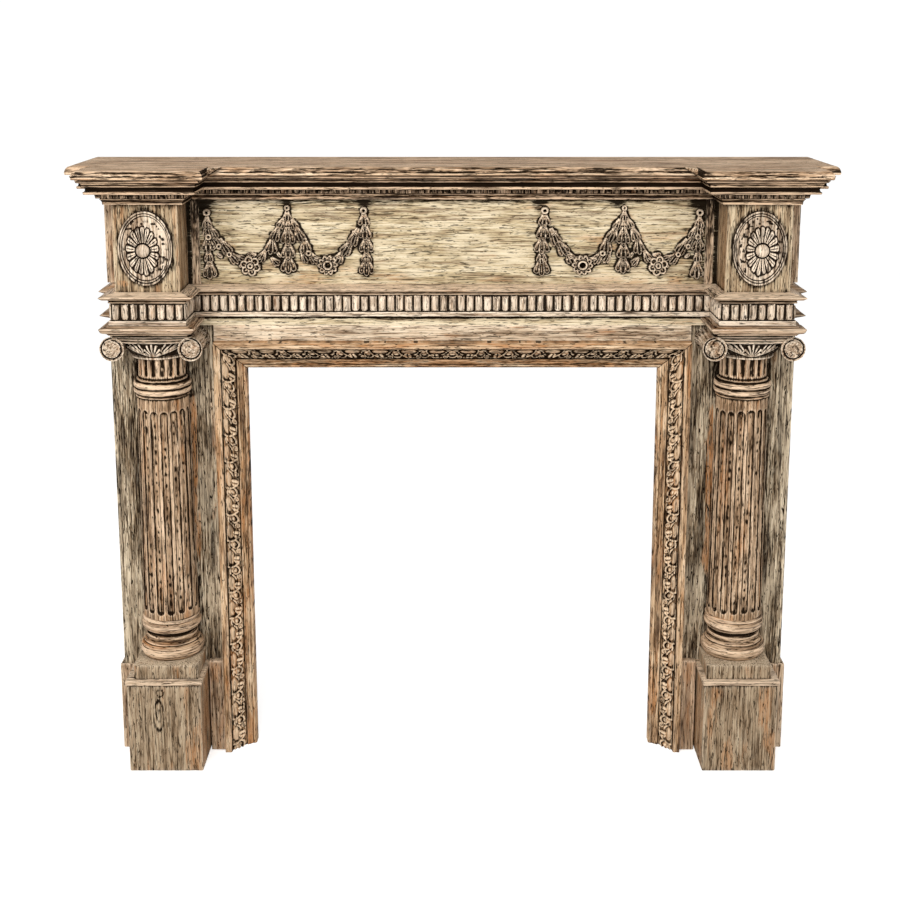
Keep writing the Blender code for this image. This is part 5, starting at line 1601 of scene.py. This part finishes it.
def make_bands():
    """The band of upright reeds over its fillet, and the small leaves in the cornice."""
    tree = row_tree()
    z = Z_BAND
    section = trace((GAP, z), (0.0145, z), (0.0158, z + 0.0010), (0.0160, z + 0.0100), (0.0150, z + 0.0116),
                    (0.0098, z + 0.0122), (0.0092, z + 0.0526), (GAP, z + 0.0530))
    moulding("reed_ground", FRONT_PATH, section, CARVED, ["fluted_band"], 71,
             gloom=lambda height: 1.0 * (height > z + 0.0118))

    reed_foot, reed_height, reed_out = z + 0.0126, 0.0385, 0.0092

    def reed_rise(x, height):
        end = np.minimum(height, 1 - height) * reed_height / 0.011
        round_end = np.sqrt(np.clip(1 - np.clip(1 - end, 0, 1) ** 2, 0, 1))
        limit = 0.97 * round_end + 1e-3
        return np.sqrt(np.clip(1 - (x / limit) ** 2, 0, 1)) ** 0.7 * round_end ** 0.6

    reed = unit_mesh("reed", 0.0160, reed_height, 0.0066, reed_rise, 13, 18)
    lines = side_lines(FRONT_PATH, reed_out, reed_foot, 0.0112)

    def reed_shade(co):
        height = (co[:, 2] - reed_foot) / 0.040
        noise = rough(co, 0.012, 4)
        tall = np.clip(np.minimum(height, 1 - height) * 12, 0, 1)
        small = rough(co, 0.0045, 8) + 0.40 * (co[:, 1] < WALL_Y - 0.34)
        notch = 0.7 * (small > 0.35) * (height > 0.12)
        return np.clip(0.75 - 1.2 * tall + notch + 0.25 * (noise > 0.5), 0, 1), 0.5 + 0.5 * noise

    carved_row("reeds", tree, reed, lines, 0.0213, 0.09, 3, CARVED, reed_shade, ["fluted_band"])

    def tongue_rise(x, height):
        limit = 0.35 + 0.6 * np.sqrt(np.clip(height, 0, 1))
        groove = 1 - 0.6 * np.exp(-(x / 0.25) ** 2)
        return np.sqrt(np.clip(1 - (x / limit) ** 2, 0, 1)) * groove * np.clip(height * 6, 0, 1)

    def tongue_shade(co):
        return np.clip(0.30 + 0.6 * rough(co, 0.01, 2), 0, 1), 0.30 + 0.6 * rough(co, 0.006, 6)

    tongue = unit_mesh("tongue", 0.0125, 0.0090, 0.0034, tongue_rise, 9, 7)
    lines = side_lines(breakfront_path(LAYER_OUTER), 0.0212, Z_CORNICE + 0.0155, 0.008)
    carved_row("cornice_tongues", tree, tongue, lines, 0.0150, 0.22, 5, CORNICE_WOOD, tongue_shade,
               ["cornice"])
    for unit in (reed, tongue):
        bpy.data.objects.remove(unit)


# Camera, lights and floor

EYE_OUT = 3.7253
EYE_HEIGHT = 1.8205
TILT_DOWN = 0.1919
LENS = 57.7
SHIFT = (-2.5 / 900, -130 / 900)


def make_camera():
    camera = bpy.data.cameras.new("camera")
    camera.lens = LENS
    camera.sensor_width = 36.0
    camera.shift_x, camera.shift_y = SHIFT
    seat = new_object("camera", camera)
    seat.location = (0.0, WALL_Y - EYE_OUT, EYE_HEIGHT)
    seat.rotation_euler = (math.radians(90) - TILT_DOWN, 0.0, 0.0)
    bpy.context.scene.camera = seat


def make_light(name, place_at, target, size, power):
    light = bpy.data.lights.new(name, 'AREA')
    light.shape = 'RECTANGLE'
    light.size, light.size_y = size
    light.energy = power
    light.color = (1.0, 0.98, 0.96)
    lamp = new_object(name, light)
    lamp.location = place_at
    direction = np.array(target) - np.array(place_at)
    yaw = math.atan2(direction[0], -direction[1])
    level = math.hypot(direction[0], direction[1])
    lamp.rotation_euler = (math.atan2(level, -direction[2]), 0.0, yaw + math.pi)


def light_room(tree, on_object, to_camera, strength):
    """Give a strength one value for the light on the object and another for what the camera sees."""
    seen = tree.nodes.new("ShaderNodeLightPath")
    level = tree.nodes.new("ShaderNodeMapRange")
    level.inputs["To Min"].default_value = on_object
    level.inputs["To Max"].default_value = to_camera
    tree.links.new(seen.outputs["Is Camera Ray"], level.inputs["Value"])
    tree.links.new(level.outputs["Result"], strength)


def make_studio():
    """Soft light from the front and above, in a white room over a white floor."""
    world = bpy.data.worlds.new("soft_room")
    world.use_nodes = True
    tree = world.node_tree
    background = tree.nodes["Background"]
    background.inputs["Color"].default_value = (1.0, 1.0, 1.0, 1.0)
    light_room(tree, 0.50, 1.05, background.inputs["Strength"])
    bpy.context.scene.world = world
    bpy.context.scene.view_settings.view_transform = 'Standard'
    make_light("front_softbox", (-0.9, -3.6, 3.4), (0.0, 0.0, 0.9), (2.4, 1.6), 118.0)
    make_light("left_softbox", (-2.8, -2.2, 2.2), (0.0, 0.0, 0.9), (1.4, 1.4), 30.0)
    make_light("right_softbox", (2.8, -2.4, 2.0), (0.0, 0.0, 0.8), (1.4, 1.4), 26.0)
    mesh = bpy.data.meshes.new("floor")
    mesh.from_pydata([(-8, -8, 0), (8, -8, 0), (8, 8, 0), (-8, 8, 0)], [], [(0, 1, 2, 3)])
    floor = new_object("floor", mesh)
    paper = bpy.data.materials.new("pale_floor")
    paper.use_nodes = True
    shader = paper.node_tree.nodes["Principled BSDF"]
    shader.inputs["Base Color"].default_value = (0.93, 0.93, 0.93, 1.0)
    shader.inputs["Roughness"].default_value = 0.9
    shader.inputs["Emission Color"].default_value = (1.0, 1.0, 1.0, 1.0)
    light_room(paper.node_tree, 0.0, 0.55, shader.inputs["Emission Strength"])
    mesh.materials.append(paper)


make_shelf()
make_corner_wedges()
make_mouldings()
make_bands()
make_boards()
make_frame()
for side_word, side_sign in SIDES:
    make_shaft(side_word, side_sign)
    make_base(side_word, side_sign)
    make_volute(side_word, side_sign, True)
    make_volute(side_word, side_sign, False)
    make_capital_band(side_word, side_sign)
    make_bowl(side_word, side_sign)
    make_medallion(side_word, side_sign)
    make_garland(side_word, side_sign)
make_camera()
make_studio()
